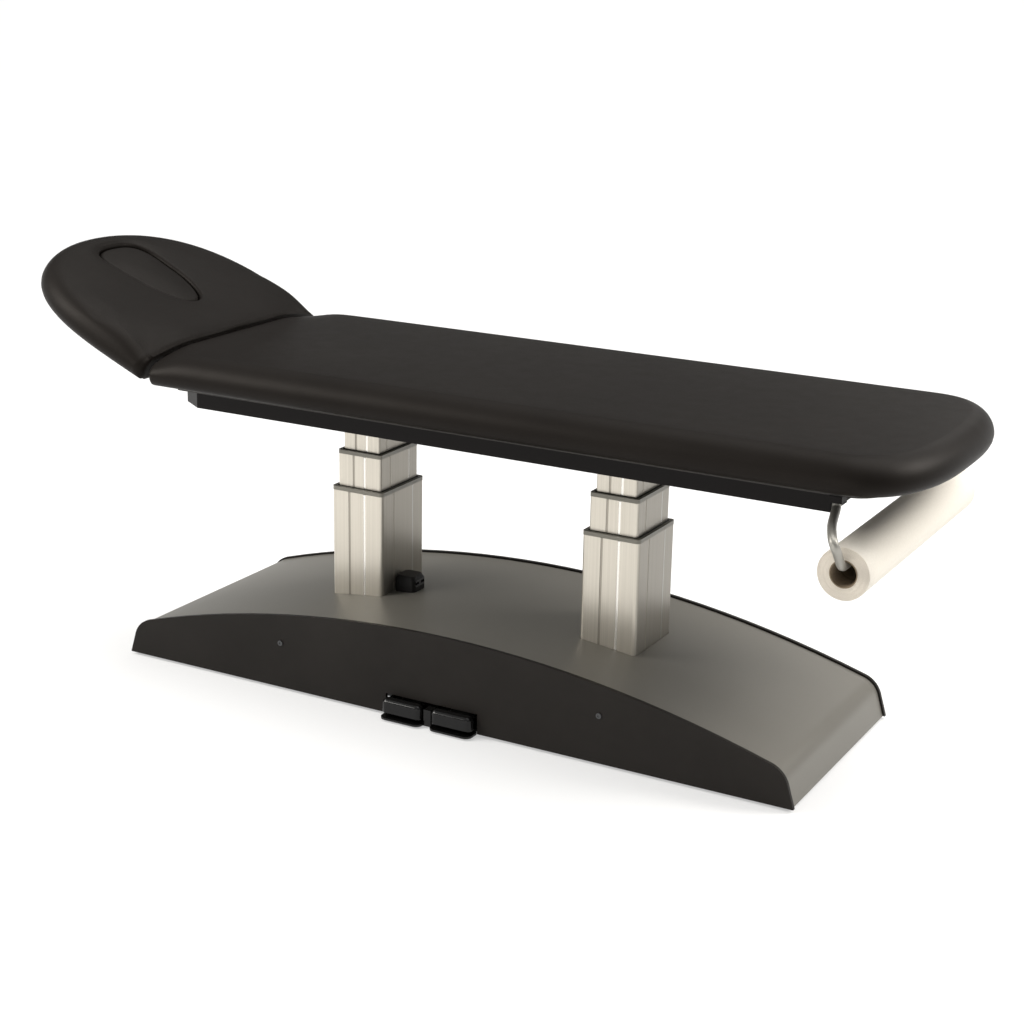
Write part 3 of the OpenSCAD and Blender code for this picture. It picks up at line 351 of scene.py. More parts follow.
def plywood_finish():
    """Birch plywood stained black."""
    f = Finish("stained_board", (0.016, 0.0145, 0.013), 0.62)
    veins = f.noise((9, 160, 160), detail=5, rough=0.65, twist=1.5)
    plies = f.bands("Z", stretch=(1, 1, 1), scale=180, distortion=0.4)
    f.set("Base Color", f.blend(veins.between(0.3, 0.7), (0.010, 0.009, 0.008), (0.030, 0.026, 0.022)))
    f.set("Roughness", 0.55 + veins * 0.15 + plies * 0.05)
    f.set("Normal", f.bump(veins, depth=0.00025, strength=0.5))
    return f.material


def cable_finish():
    """Matt black cable sheath."""
    f = Finish("cable", (0.012, 0.012, 0.012), 0.5)
    skin = f.noise(900, detail=3, rough=0.6)
    f.set("Base Color", f.blend(skin, (0.010, 0.010, 0.010), (0.020, 0.019, 0.018)))
    f.set("Roughness", 0.45 + skin * 0.15)
    f.set("Normal", f.bump(skin, depth=0.0001, strength=0.4))
    return f.material


VINYL = vinyl_finish()
ANODISED = anodised_finish("anodised", (0.53, 0.494, 0.428), (0.64, 0.599, 0.524), roughness=0.27)
# The bright strips' colour is a painted highlight, in place of the light caught by a groove's edge
PAINTED_HIGHLIGHT_STRIP = anodised_finish("painted_highlight_strip", (0.78, 0.76, 0.71), (0.88, 0.86, 0.81), roughness=0.20,
                               wide_shade=WIDE_STRIP_SHADE)
# The dull strips' dark colour is painted shade, standing for the shade inside a groove
PAINTED_SHADE_STRIP = anodised_finish("painted_shade_strip", (0.31, 0.285, 0.242), (0.37, 0.342, 0.295), roughness=0.34)
FRAME_BLACK = powder_finish("frame_coat", (0.0055, 0.0046, 0.0044), (0.0085, 0.0072, 0.0070), roughness=0.40,
                            Specular_IOR_Level=0.09)
COVER_GREY = powder_finish("cover_coat", (0.156, 0.148, 0.129), (0.180, 0.171, 0.150), roughness=0.42,
                           metallic=0.25, peel=0.0001)
STEEL_DARK = powder_finish("dark_coat", (0.030, 0.031, 0.033), (0.048, 0.049, 0.051), roughness=0.42)
PANEL_BLACK = moulded_finish("panel_skin", (0.0100, 0.0082, 0.0068), (0.0140, 0.0118, 0.0100), roughness=0.46,
                             texture=0.00012, grains=1900, Specular_IOR_Level=0.14)
COLLAR_GREY = moulded_finish("collar_grey", (0.165, 0.156, 0.128), (0.200, 0.188, 0.156), roughness=0.42,
                             texture=0.0001)
WIPER_BLACK = moulded_finish("wiper_lip", (0.016, 0.015, 0.012), (0.024, 0.022, 0.018), roughness=0.6,
                             texture=0.0001)
BLACK_PLASTIC = moulded_finish("black_plastic", (0.0045, 0.0042, 0.0042), (0.0075, 0.0070, 0.0068),
                               roughness=0.42, Specular_IOR_Level=0.16)
PALE_PLASTIC = moulded_finish("sliding_pads", (0.62, 0.61, 0.58), (0.70, 0.69, 0.66), roughness=0.45)
ROD = satin_rod_finish()
PAPER = paper_finish()
PAPER_EDGE = paper_edge_finish()

# The finish of each slot of the record
SLOT_FINISH = {
    "frame_black": FRAME_BLACK, "cover_grey": COVER_GREY, "panel_black": PANEL_BLACK,
    "steel_dark": STEEL_DARK, "zinc": zinc_finish(), "silver": ANODISED, "collar": COLLAR_GREY,
    "wiper": PALE_PLASTIC, "black_plastic": BLACK_PLASTIC, "gloss_black": gloss_finish(),
    "cable": cable_finish(), "vinyl": VINYL, "board": plywood_finish(), "chrome_bar": ROD,
    "card": card_finish(), "paper": PAPER,
}

for node_name, node_object in nodes.items():
    node_object.data.materials.clear()
    node_object.data.materials.append(SLOT_FINISH[slot_of[node_name]])

# Making pieces

WELD_DISTANCE = 0.00001
FLAT_ANGLE = math.radians(0.4)
EDGE_ANGLE = 32
MOULD_BEVEL = 0.0006


def dress(name, mesh, materials, body, sharp=None):
    """A new piece with its finish, riding on a body. Edges sharper than sharp degrees stay sharp."""
    for material in materials:
        mesh.materials.append(material)
    bm = bmesh.new()
    bm.from_mesh(mesh)
    bmesh.ops.recalc_face_normals(bm, faces=bm.faces)
    for face in bm.faces:
        face.smooth = True
    if sharp:
        limit = math.radians(sharp)
        for edge in bm.edges:
            edge.smooth = not (len(edge.link_faces) == 2 and edge.calc_face_angle(0) > limit)
    bm.to_mesh(mesh)
    bm.free()
    piece = bpy.data.objects.new(name, mesh)
    bpy.context.scene.collection.objects.link(piece)
    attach(piece, body)
    return piece


def piece_from(name, vertices, faces, materials, body, sharp=None):
    """A new piece of vertices and faces in the row frame."""
    mesh = bpy.data.meshes.new(name)
    mesh.from_pydata([tuple(v) for v in vertices], [], faces)
    mesh.validate()
    return dress(name, mesh, materials, body, sharp)


def settle(piece):
    """Applies the modifiers of a piece."""
    depsgraph = bpy.context.evaluated_depsgraph_get()
    done = bpy.data.meshes.new_from_object(piece.evaluated_get(depsgraph), depsgraph=depsgraph)
    piece.modifiers.clear()
    piece.data = done


def softened(node, width, segments):
    """A copy of a CAD node with its sharp edges rounded, shown in the node's place."""
    mesh = nodes[node].data.copy()
    mesh.materials.clear()
    bm = bmesh.new()
    bm.from_mesh(mesh)
    bmesh.ops.remove_doubles(bm, verts=bm.verts, dist=WELD_DISTANCE)
    bmesh.ops.dissolve_limit(bm, angle_limit=FLAT_ANGLE, verts=bm.verts, edges=bm.edges)
    bm.to_mesh(mesh)
    bm.free()
    slot = slot_of[node]
    piece = dress(node + "_finished", mesh, [SLOT_FINISH[slot]], body_of[node], sharp=EDGE_ANGLE)
    bevel = piece.modifiers.new("edges", "BEVEL")
    bevel.width = width
    bevel.segments = segments
    bevel.limit_method = "ANGLE"
    bevel.angle_limit = math.radians(EDGE_ANGLE)
    bevel.harden_normals = True
    bevel.use_clamp_overlap = True
    settle(piece)
    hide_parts(node)
    return piece


def moulded(node, voxel, rounds):
    """A copy of a CAD node with all its edges run soft, as a moulding has them."""
    piece = softened(node, MOULD_BEVEL, 1)
    remesh = piece.modifiers.new("skin", "REMESH")
    remesh.mode, remesh.voxel_size = "VOXEL", voxel
    smooth = piece.modifiers.new("soft", "SMOOTH")
    smooth.factor, smooth.iterations = 0.5, rounds
    settle(piece)
    for polygon in piece.data.polygons:
        polygon.use_smooth = True


def skin_rings(rings, close_ends=False, loop=False):
    """Vertices and faces over rings of equal count, closed on itself if loop, capped if close_ends."""
    count, total = len(rings[0]), len(rings)
    vertices = [tuple(p) for ring in rings for p in ring]
    faces = []
    for j in range(total if loop else total - 1):
        lower, upper = j * count, ((j + 1) % total) * count
        for i in range(count):
            k = (i + 1) % count
            faces.append((lower + i, lower + k, upper + k, upper + i))
    if close_ends:
        faces.append(tuple(range(count))[::-1])
        faces.append(tuple((total - 1) * count + i for i in range(count)))
    return vertices, faces


def ring_at(outline, z):
    """An outline as a ring of points at one height."""
    return [(x, y, z) for x, y in outline]


def quarter(centre, radius, start, steps):
    """Points of a quarter circle, from the angle start on."""
    angles = [start + math.pi / 2 * i / steps for i in range(steps + 1)]
    return [(centre[0] + radius * math.cos(a), centre[1] + radius * math.sin(a)) for a in angles]


def line_inside(p, q, steps):
    """Points evenly spaced between two corners, without the corners."""
    dx, dy = q[0] - p[0], q[1] - p[1]
    return [(p[0] + dx * i / (steps + 1), p[1] + dy * i / (steps + 1)) for i in range(1, steps + 1)]


# Sizes of the cushions, shared with the CAD source

SEAM_X = -0.597
BODY_LENGTH, BODY_WIDTH, BODY_THICKNESS = 1.590, 0.604, 0.065
BODY_UNDERSIDE, CROWN = 0.606, 0.003
# The foot end: length of its oval, the oval's power, and the small corners at the other end
FOOT_END, OVAL_POWER, NEAR_CORNER = 0.165, 0.75, 0.012
PIVOT = Vector((-0.609, 0, 0.606))
HEAD_TILT = math.radians(23)
# The head section, in its own level frame: its start, and its height above the pivot
HEAD_GAP, HEAD_SEAT = 0.0165, 0.004
HEAD_LENGTH, HEAD_HALF_WIDTH, HEAD_THICKNESS = 0.425, 0.306, 0.068
# Powers of the head's oval along it and across it
HEAD_POWER_ALONG, HEAD_POWER_ACROSS = 3.5, 2.1
# The egg-shaped face hole: its middle, its half length and half width, and how it narrows
HOLE_MIDDLE = 0.559 * HEAD_LENGTH
HOLE_HALF_LENGTH = 0.285 * HEAD_LENGTH
HOLE_HALF_WIDTH = 0.225 * HEAD_HALF_WIDTH
EGG_SHARE, EGG_POWER = 0.36, 0.71

# Sizes of the cushions in the scene alone

BODY_MIDDLE_X = SEAM_X + BODY_LENGTH / 2
EGG_X = -(HEAD_GAP + HOLE_MIDDLE)
LOWER_ROUND, BODY_ROUND, HEAD_ROUND, EDGE_POWER = 0.022, 0.046, 0.038, 1.05
LOWER_STEPS, UPPER_STEPS = 5, 16
# The edges at the seam draw in by this share of what the others do
SEAM_SHARE = 0.02
# How far the seam draws the covers down: at its two ends and along it, with the reach of each
END_DRAW, END_REACH, END_FLAT, END_FADE, END_POWER = 0.016, 0.050, 0.036, 0.110, 1.6
LINE_DRAW, LINE_REACH = 0.0030, 0.018
# Points on the parts of an outline
CORNER_STEPS, SIDE_STEPS, SEAM_STEPS, OVAL_STEPS = 8, 110, 24, 30
HEAD_ARC_STEPS, HEAD_SEAM_STEPS = 64, 22
# More than 1 sets the points closer together towards the head end
HEAD_ARC_CROWDING = 1.5
EGG_POINTS = 1440
# The oval's ends stop just short of the straight sides' ends
OVAL_PART = 0.99999
LEAST_CORNER = 0.0012
LEAST_REACH_SHARE = 0.1


def edge_profile(thickness, upper_round):
    """(inset, height) pairs of a cushion's edge, from its underside round to its top."""
    out = []
    for i in range(LOWER_STEPS):
        a = math.pi / 2 * i / LOWER_STEPS
        out.append((LOWER_ROUND * (1 - math.sin(a)), LOWER_ROUND * (1 - math.cos(a))))
    for i in range(UPPER_STEPS + 1):
        a = math.pi / 2 * i / UPPER_STEPS
        out.append((upper_round * (1 - abs(math.cos(a)) ** EDGE_POWER),
                    LOWER_ROUND + (thickness - LOWER_ROUND) * math.sin(a) ** EDGE_POWER))
    return out


def drawn_down(z, top, from_seam, from_side):
    """Height of a cushion's cover near the seam, which draws it down, most of all at the seam's two ends."""
    share = min(1.0, max(0.0, (z - LOWER_ROUND) / (top - LOWER_ROUND)))
    across = max(0.0, 1 - max(0.0, from_side - END_FLAT) / END_FADE) ** END_POWER
    draw = END_DRAW * across * math.exp(-(from_seam / END_REACH) ** 2)
    return z - share * (draw + LINE_DRAW * math.exp(-(from_seam / LINE_REACH) ** 2))


def body_outline(inset):
    """Outline of the body cushion drawn in by inset; the same number of points for every inset."""
    seam_x, oval_x = SEAM_X + SEAM_SHARE * inset, SEAM_X + BODY_LENGTH - FOOT_END
    half = BODY_WIDTH / 2 - inset
    round_off = max(NEAR_CORNER - inset / 3, LEAST_CORNER)
    reach = max(FOOT_END - inset, FOOT_END * LEAST_REACH_SHARE)
    angles = [math.pi / 2 * i / OVAL_STEPS * OVAL_PART for i in range(-OVAL_STEPS, OVAL_STEPS + 1)]
    foot = [(oval_x + reach * math.cos(a) ** OVAL_POWER,
             half * math.copysign(abs(math.sin(a)) ** OVAL_POWER, a)) for a in angles]
    return (line_inside((oval_x, half), (seam_x + round_off, half), SIDE_STEPS)
            + quarter((seam_x + round_off, half - round_off), round_off, math.pi / 2, CORNER_STEPS)
            + line_inside((seam_x, half - round_off), (seam_x, round_off - half), SEAM_STEPS)
            + quarter((seam_x + round_off, round_off - half), round_off, math.pi, CORNER_STEPS)
            + line_inside((seam_x + round_off, -half), (oval_x, -half), SIDE_STEPS)
            + foot)


def head_outline(inset):
    """Outline of the head cushion drawn in by inset, in the head section's own level frame."""
    near = HEAD_GAP + SEAM_SHARE * inset
    length, half = HEAD_LENGTH - inset - SEAM_SHARE * inset, HEAD_HALF_WIDTH - inset
    points = []
    for i in range(HEAD_ARC_STEPS + 1):
        s = math.sin(math.pi / 2 * (1 - (1 - i / HEAD_ARC_STEPS) ** HEAD_ARC_CROWDING))
        width_share = max(0.0, 1 - s ** HEAD_POWER_ALONG) ** (1 / HEAD_POWER_ACROSS)
        points.append((near + length * s, half * width_share))
    ring = [(-u, w) for u, w in points] + [(-u, -w) for u, w in points[-2::-1]]
    return ring + line_inside((-near, -half), (-near, half), HEAD_SEAM_STEPS)


def egg_point(angle, grow):
    """A point of the face hole's egg shape, grown by grow, in the head section's own level frame."""
    c, s = math.cos(angle), math.sin(angle)
    swing_c, swing_s = (math.copysign(abs(v) ** EGG_POWER, v) for v in (c, s))
    return (-(HEAD_GAP + HOLE_MIDDLE + (HOLE_HALF_LENGTH + grow) * swing_c),
            -(HOLE_HALF_WIDTH + grow) * (1 + EGG_SHARE * c) * swing_s)


def egg_towards(points, grow):
    """Points of the face hole's outline in the directions of the given points, seen from its middle."""
    circle = 2 * math.pi
    fine = [egg_point(circle * i / EGG_POINTS, grow) for i in range(EGG_POINTS)]
    bearing = np.unwrap([math.atan2(y, x - EGG_X) for x, y in fine]) % circle
    order = np.argsort(bearing)
    xs, ys = (np.tile(np.array(values)[order], 3) for values in zip(*fine))
    grid = np.concatenate([bearing[order] + turn for turn in (-circle, 0, circle)])
    towards = [math.atan2(y, x - EGG_X) % circle for x, y in points]
    return [(float(np.interp(a, grid, xs)), float(np.interp(a, grid, ys))) for a in towards]


def tilted(p):
    """A point of the level head section, at the tilt of the photograph."""
    x, y, z = p
    c, s = math.cos(HEAD_TILT), math.sin(HEAD_TILT)
    return (PIVOT[0] + x * c + z * s, PIVOT[1] + y, PIVOT[2] - x * s + z * c)


# Cushions

SWELL_CAP = 0.0022
SWELL_PRESSURE = 4.0
SWELL_FRAMES = 18
CLOTH_SETTINGS = {"quality": 6, "mass": 0.4, "tension_stiffness": 60, "compression_stiffness": 60,
                  "shear_stiffness": 30, "bending_stiffness": 12, "use_pressure": True,
                  "uniform_pressure_force": SWELL_PRESSURE, "vertex_group_mass": "held"}


def swell(piece, holds, count):
    """Blows a closed cover up a little, as foam fills it. Each ring of count points has its hold, 0 to 1."""
    start = np.array([v.co for v in piece.data.vertices])
    group = piece.vertex_groups.new(name="held")
    for ring, hold in enumerate(holds):
        if hold > 0:
            group.add(list(range(ring * count, (ring + 1) * count)), hold, "REPLACE")
    cloth = piece.modifiers.new("cloth", "CLOTH")
    for key, value in CLOTH_SETTINGS.items():
        setattr(cloth.settings, key, value)
    cloth.settings.effector_weights.gravity = 0
    cloth.collision_settings.use_collision = False
    cloth.point_cache.frame_start, cloth.point_cache.frame_end = 1, SWELL_FRAMES
    for number in range(1, SWELL_FRAMES + 1):
        bpy.context.scene.frame_set(number)
    depsgraph = bpy.context.evaluated_depsgraph_get()
    blown = np.array([v.co for v in piece.evaluated_get(depsgraph).data.vertices])
    piece.modifiers.clear()
    piece.vertex_groups.clear()
    bpy.context.scene.frame_set(1)
    move = blown - start
    far = np.linalg.norm(move, axis=1, keepdims=True)
    move *= SWELL_CAP * np.tanh(far / SWELL_CAP) / np.maximum(far, 1e-9)
    for vertex, co in zip(piece.data.vertices, start + move):
        vertex.co = co


def add_cover(name, vertices, faces, body, node, holds=(), count=0):
    """A closed vinyl cover that stands for a padded CAD node."""
    cover = piece_from(name, vertices, faces, [VINYL], body)
    if holds:
        swell(cover, holds, count)
    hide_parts(node)


UNDERSIDE_INSETS = (0.140, 0.060)
TOP_RINGS = 15
# Half the width that the innermost ring of the top leaves open
TOP_SLOT = 0.004
CROWN_MARGIN, CROWN_ACROSS, CROWN_ALONG = 0.01, 2.2, 6
BODY_HELD_RINGS, BODY_EASED_RINGS = 8, 6


def crowned(x, y, z):
    """Height of a point of the body cushion, whose upper half rises towards the middle."""
    if z < BODY_THICKNESS / 2:
        return z
    across = min(1.0, abs(y) / (BODY_WIDTH / 2 - CROWN_MARGIN))
    along = min(1.0, abs(x - BODY_MIDDLE_X) / (BODY_LENGTH / 2))
    rise = CROWN * (1 - across ** CROWN_ACROSS) * (1 - along ** CROWN_ALONG)
    return z + rise * min(1.0, (z / BODY_THICKNESS - 0.5) * 2)


def body_height(x, y, z):
    """Height of a point of the body cushion, crowned and drawn down at the seam."""
    return drawn_down(crowned(x, y, z), BODY_THICKNESS, x - SEAM_X, BODY_WIDTH / 2 - abs(y))


def slot_faces(ring, first):
    """Faces across a long narrow ring, from one of its long sides to the other."""
    count, half = len(ring), len(ring) // 2
    start = next(i for i in range(count) if ring[i][1] > 0 and ring[i - 1][1] <= 0)
    order = [first + (start + i) % count for i in range(count)]
    left, right = order[:half], order[half:2 * half][::-1]
    return [(order[-1], left[0], right[0])] + [(left[i], left[i + 1], right[i + 1], right[i])
                                               for i in range(half - 1)]


def add_body_cushion():
    """The long cushion: square at the seam, a wide oval at the foot end."""
    rings = [ring_at(body_outline(inset), 0.0) for inset in UNDERSIDE_INSETS]
    rings += [ring_at(body_outline(inset), z) for inset, z in edge_profile(BODY_THICKNESS, BODY_ROUND)]
    last = BODY_WIDTH / 2 - TOP_SLOT
    for i in range(1, TOP_RINGS + 1):
        rings.append(ring_at(body_outline(BODY_ROUND + (last - BODY_ROUND) * i / TOP_RINGS), BODY_THICKNESS))
    vertices, faces = skin_rings(rings)
    count = len(rings[0])
    faces.append(tuple(range(count))[::-1])
    faces += slot_faces(rings[-1], (len(rings) - 1) * count)
    vertices = [(x, y, BODY_UNDERSIDE + body_height(x, y, z)) for x, y, z in vertices]
    holds = [1.0] * BODY_HELD_RINGS
    holds += [1.0 - (i + 1) / (BODY_EASED_RINGS + 1) for i in range(BODY_EASED_RINGS)]
    add_cover("body_cushion_cover", vertices, faces, "top", "body_cushion", holds, count)


HEAD_FOAM_THICKNESS = HEAD_THICKNESS - 0.002
HEAD_TOP_RINGS = 12
HEAD_RISE, RISE_PART, RISE_POWER = 0.004, 0.86, 0.8
HOLE_LIP, LIP_STEPS = 0.009, 5
HOLE_WALL_SHARES = (0.3, 0.6, 0.85, 1.0)
HEAD_UNDERSIDE_SHARES = (0.66, 0.33)
# The hold on the head cushion: full on its lowest rings, and eased off over the next ones
HEAD_HELD_RINGS, HEAD_EASE_FROM, HEAD_EASE_RINGS = 7, 5, 7
# The hold by the hole: full from so many rings past the top's end, growing from so many before it
HOLE_HELD_PAST, HOLE_EASE_BEFORE, HOLE_EASE_RINGS = 3, 4, 5


def mixed(first, second, share):
    """The first ring moved towards the second by a share of the way."""
    return [(a[0] * (1 - share) + b[0] * share, a[1] * (1 - share) + b[1] * share)
            for a, b in zip(first, second)]


def head_hold(ring, top_end):
    """How firmly a ring of the head cushion is held: its underside and the hole's wall don't swell."""
    if ring < HEAD_HELD_RINGS or ring >= top_end + HOLE_HELD_PAST:
        return 1.0
    if ring < HEAD_EASE_FROM + HEAD_EASE_RINGS:
        return 1.0 - (ring - HEAD_EASE_FROM) / HEAD_EASE_RINGS
    return min(1.0, max(0.0, (ring - top_end + HOLE_EASE_BEFORE) / HOLE_EASE_RINGS))


def add_head_cushion():
    """The head section's cushion, with its egg-shaped face hole."""
    profile = edge_profile(HEAD_FOAM_THICKNESS, HEAD_ROUND)
    top_z = profile[-1][1]
    rings = [ring_at(head_outline(inset), z) for inset, z in profile]
    rim = head_outline(profile[-1][0])
    hole, lip_ring = egg_towards(rim, 0.0), egg_towards(rim, HOLE_LIP)
    for i in range(1, HEAD_TOP_RINGS + 1):
        t = i / HEAD_TOP_RINGS
        rise = HEAD_RISE * math.sin(math.pi * min(1.0, t * RISE_PART)) ** RISE_POWER
        rings.append(ring_at(mixed(rim, lip_ring, t), top_z + rise))
    top_end = len(rings)
    edge_z = rings[-1][0][2]
    for i in range(1, LIP_STEPS + 1):
        a = math.pi / 2 * i / LIP_STEPS
        lip = egg_towards(rim, HOLE_LIP * (1 - math.sin(a)))
        rings.append(ring_at(lip, edge_z - HOLE_LIP * (1 - math.cos(a))))
    rings += [ring_at(hole, (edge_z - HOLE_LIP) * (1 - share)) for share in HOLE_WALL_SHARES]
    base = head_outline(profile[0][0])
    rings += [ring_at(mixed(base, hole, share), 0.0) for share in HEAD_UNDERSIDE_SHARES]
    vertices, faces = skin_rings(rings, loop=True)
    vertices = [tilted((x, y, drawn_down(z, top_z, -x - HEAD_GAP, HEAD_HALF_WIDTH - abs(y)) + HEAD_SEAT))
                for x, y, z in vertices]
    holds = [head_hold(ring, top_end) for ring in range(len(rings))]
    add_cover("head_cushion_cover", vertices, faces, "head", "head_cushion", holds, len(rim))


PLUG_POINTS = 120
PLUG_GAP = 0.0014
PLUG_TOP, PLUG_LOW = HEAD_THICKNESS + 0.0005, HEAD_SEAT + 0.0003
# (share of the outline, height above the plug's underside) of the rings below its shoulder
PLUG_SIDE = ((0.2, 0.0), (0.6, 0.0), (0.93, 0.0), (0.98, 0.001), (1.0, 0.004), (1.0, 0.016), (1.0, 0.03),
             (1.0, 0.042))
PLUG_SHOULDER, PLUG_ROUND, PLUG_ROUND_STEPS = 0.011, 0.010, 7
PLUG_CROWN, PLUG_TIP = 0.0055, 0.0056
PLUG_CROWN_SHARES = (0.85, 0.68, 0.5, 0.32, 0.15)


def egg_ring(outline, share_x, share_y, z):
    """An outline of the plug drawn in towards its middle."""
    return [(EGG_X + (x - EGG_X) * share_x, y * share_y, z) for x, y in outline]


def add_face_plug():
    """The upholstered plug in the face hole, round at its shoulder and crowned."""
    outline = [egg_point(2 * math.pi * i / PLUG_POINTS, -PLUG_GAP) for i in range(PLUG_POINTS)]
    rings = [egg_ring(outline, share, share, PLUG_LOW + rise) for share, rise in PLUG_SIDE]
    for i in range(PLUG_ROUND_STEPS + 1):
        a = math.pi / 2 * i / PLUG_ROUND_STEPS
        inset = PLUG_ROUND * (1 - math.cos(a))
        rings.append(egg_ring(outline, 1 - inset / HOLE_HALF_LENGTH, 1 - inset / HOLE_HALF_WIDTH,
                              PLUG_TOP - PLUG_SHOULDER + PLUG_ROUND * math.sin(a)))
    top_outline = [(x, y) for x, y, z in rings[-1]]
    top_z = rings[-1][0][2]
    rings += [egg_ring(top_outline, share, share, top_z + PLUG_CROWN * (1 - share ** 2))
              for share in PLUG_CROWN_SHARES]
    vertices, faces = skin_rings(rings)
    tip, foot = len(vertices), len(vertices) + 1
    vertices += [(EGG_X, 0, top_z + PLUG_TIP), (EGG_X, 0, PLUG_LOW)]
    last = (len(rings) - 1) * PLUG_POINTS
    for i in range(PLUG_POINTS):
        k = (i + 1) % PLUG_POINTS
        faces += [(last + i, last + k, tip), (k, i, foot)]
    add_cover("face_plug_cover", [tilted(p) for p in vertices], faces, "plug", "face_plug")


add_body_cushion()
add_head_cushion()
add_face_plug()

# Metal and plastic

# Width of the rounding of each node's edges, and its steps
SOFT_EDGES = {
    "frame_side_rails": (0.0016, 3), "frame_cross_rails": (0.0012, 2), "front_side_panel": (0.0016, 3),
    "rear_side_panel": (0.0016, 3), "base_cover": (0.0004, 1), "foot_control_tray": (0.0012, 2),
    "socket_block": (0.0015, 3), "roll_holder_plate": (0.0008, 2), "hinge_brackets": (0.0008, 2),
    "hinge_arms": (0.0008, 2), "top_plates": (0.0008, 2), "control_box": (0.002, 3),
    "base_chassis": (0.0010, 2), "mains_inlet": (0.0006, 2), "power_switch": (0.0006, 2),
    "foot_control_housing": (0.0008, 2), "body_board": (0.0010, 2), "head_board": (0.0010, 2),
}
PEDALS = ("up_pedal", "down_pedal")
PEDAL_VOXEL, PEDAL_SMOOTHING = 0.0011, 14
for soft_node, (soft_width, soft_steps) in SOFT_EDGES.items():
    softened(soft_node, soft_width, soft_steps)
for pedal in PEDALS:
    moulded(pedal, PEDAL_VOXEL, PEDAL_SMOOTHING)

# Of each stage: the stage that slides in it, its corner radius, and how far its grooves lie from the
# middle of its faces towards Y and of those towards X
STAGES = {"outer": ("middle", 0.008, (0.018, 0.037)), "middle": ("inner", 0.0065, (0.013, 0.037)),
          "inner": (None, 0.005, (0.013, 0.037))}
STAGE_CORNER_STEPS = 6
# Width of each kind of strip, and how far it is set back
# The kind that is set back fills a groove with painted shade
STRIP_KINDS = {"strip": (0.0050, 0.0), "seal": (0.0052, 0.00035)}
STRIP_THICKNESS, STRIP_END = 0.0012, 0.001
# Section of a strip, in shares of its width and thickness
STRIP_SHARES = ((-0.5, -1.0), (-0.5, -0.25), (-0.4, -0.06), (-0.2, 0.0),
                (0.2, 0.0), (0.4, -0.06), (0.5, -0.25), (0.5, -1.0))
# Section of a wiper lip: distance from the stage, height above the collar
LIP_SECTION = ((0.0002, 0.0), (0.0028, 0.0), (0.0028, 0.0004), (0.0022, 0.0007), (0.0012, 0.0012),
               (0.0002, 0.0012))


def add_strip(name, kind, at, outward, ends, body):
    """A strip in one groove of a stage: a bright one with a slightly round face, its colour a painted
    highlight, or one set back, dark with painted shade.
    """
    width, back = STRIP_KINDS[kind]
    # Painted highlight in the bright strip; painted shade in the strip set back in the faces towards Y
    finish = PAINTED_HIGHLIGHT_STRIP if kind == "strip" else ANODISED if outward[0] else PAINTED_SHADE_STRIP
    along = Vector((-outward[1], outward[0], 0))
    rings = [[at + along * (width * w) + outward * (STRIP_THICKNESS * t - back) + Vector((0, 0, z))
              for w, t in STRIP_SHARES] for z in ends]
    vertices, faces = skin_rings(rings, close_ends=True)
    piece_from(name, vertices, faces, [finish], body, sharp=25)


def add_strips(column, stage, groove_x, groove_y):
    """A bright strip of painted highlight and a strip set back, dark with painted shade, in the two grooves
    of each face of a stage.
    """
    node = f"{column}_{stage}_column"
    low, high = (Vector(corner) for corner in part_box(node))
    centre, half = (low + high) / 2, (high - low) / 2
    ends = (low[2] + STRIP_END, high[2] - STRIP_END)
    sides = (("front", (groove_x, -half[1]), (0, -1)), ("back", (-groove_x, half[1]), (0, 1)),
             ("foot", (half[0], groove_y), (1, 0)), ("head", (-half[0], -groove_y), (-1, 0)))
    for side, (dx, dy), (out_x, out_y) in sides:
        outward = Vector((out_x, out_y, 0))
        across = (dx, -dy) if out_x else (-dx, dy)
        for kind, (off_x, off_y) in (("strip", (dx, dy)), ("seal", across)):
            at = Vector((centre[0] + off_x, centre[1] + off_y, 0))
            add_strip(f"{column}_{stage}_{side}_{kind}", kind, at, outward, ends, body_of[node])


def rounded_rectangle(low, high, radius):
    """Outline of a stage, from its lowest corner to its highest."""
    x0, y0, x1, y1 = low[0] + radius, low[1] + radius, high[0] - radius, high[1] - radius
    points = []
    for turn, centre in enumerate(((x1, y1), (x0, y1), (x0, y0), (x1, y0))):
        points += quarter(centre, radius, turn * math.pi / 2, STAGE_CORNER_STEPS)
    return points


def add_wiper_lip(column, stage, sliding, radius):
    """The black rubber lip in the top of a stage's collar, which wipes the stage that slides in it."""
    collar = f"{column}_{stage}_collar"
    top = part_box(collar)[1][2]
    low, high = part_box(f"{column}_{sliding}_column")
    rings = []
    for off, rise in LIP_SECTION:
        around = Vector((off, off, 0))
        rings.append(ring_at(rounded_rectangle(low - around, high + around, radius + off), top + rise))
    vertices, faces = skin_rings(rings, loop=True)
    piece_from(f"{column}_{stage}_lip", vertices, faces, [WIPER_BLACK], body_of[collar], sharp=60)


for column in ("left", "right"):
    for stage, (sliding, _, grooves) in STAGES.items():
        add_strips(column, stage, *grooves)
        if sliding:
            add_wiper_lip(column, stage, sliding, STAGES[sliding][1])

# Roll and its rod

BAR_RADIUS = 0.008
ARM_FROM = Vector((0.8233, -0.221, 0.586))
BAR_FROM = Vector((0.866, -0.291, 0.4874))
BAR_TO_Y = 0.338
# How far the rod reaches up behind the cushion's edge
ARM_UP = 0.012
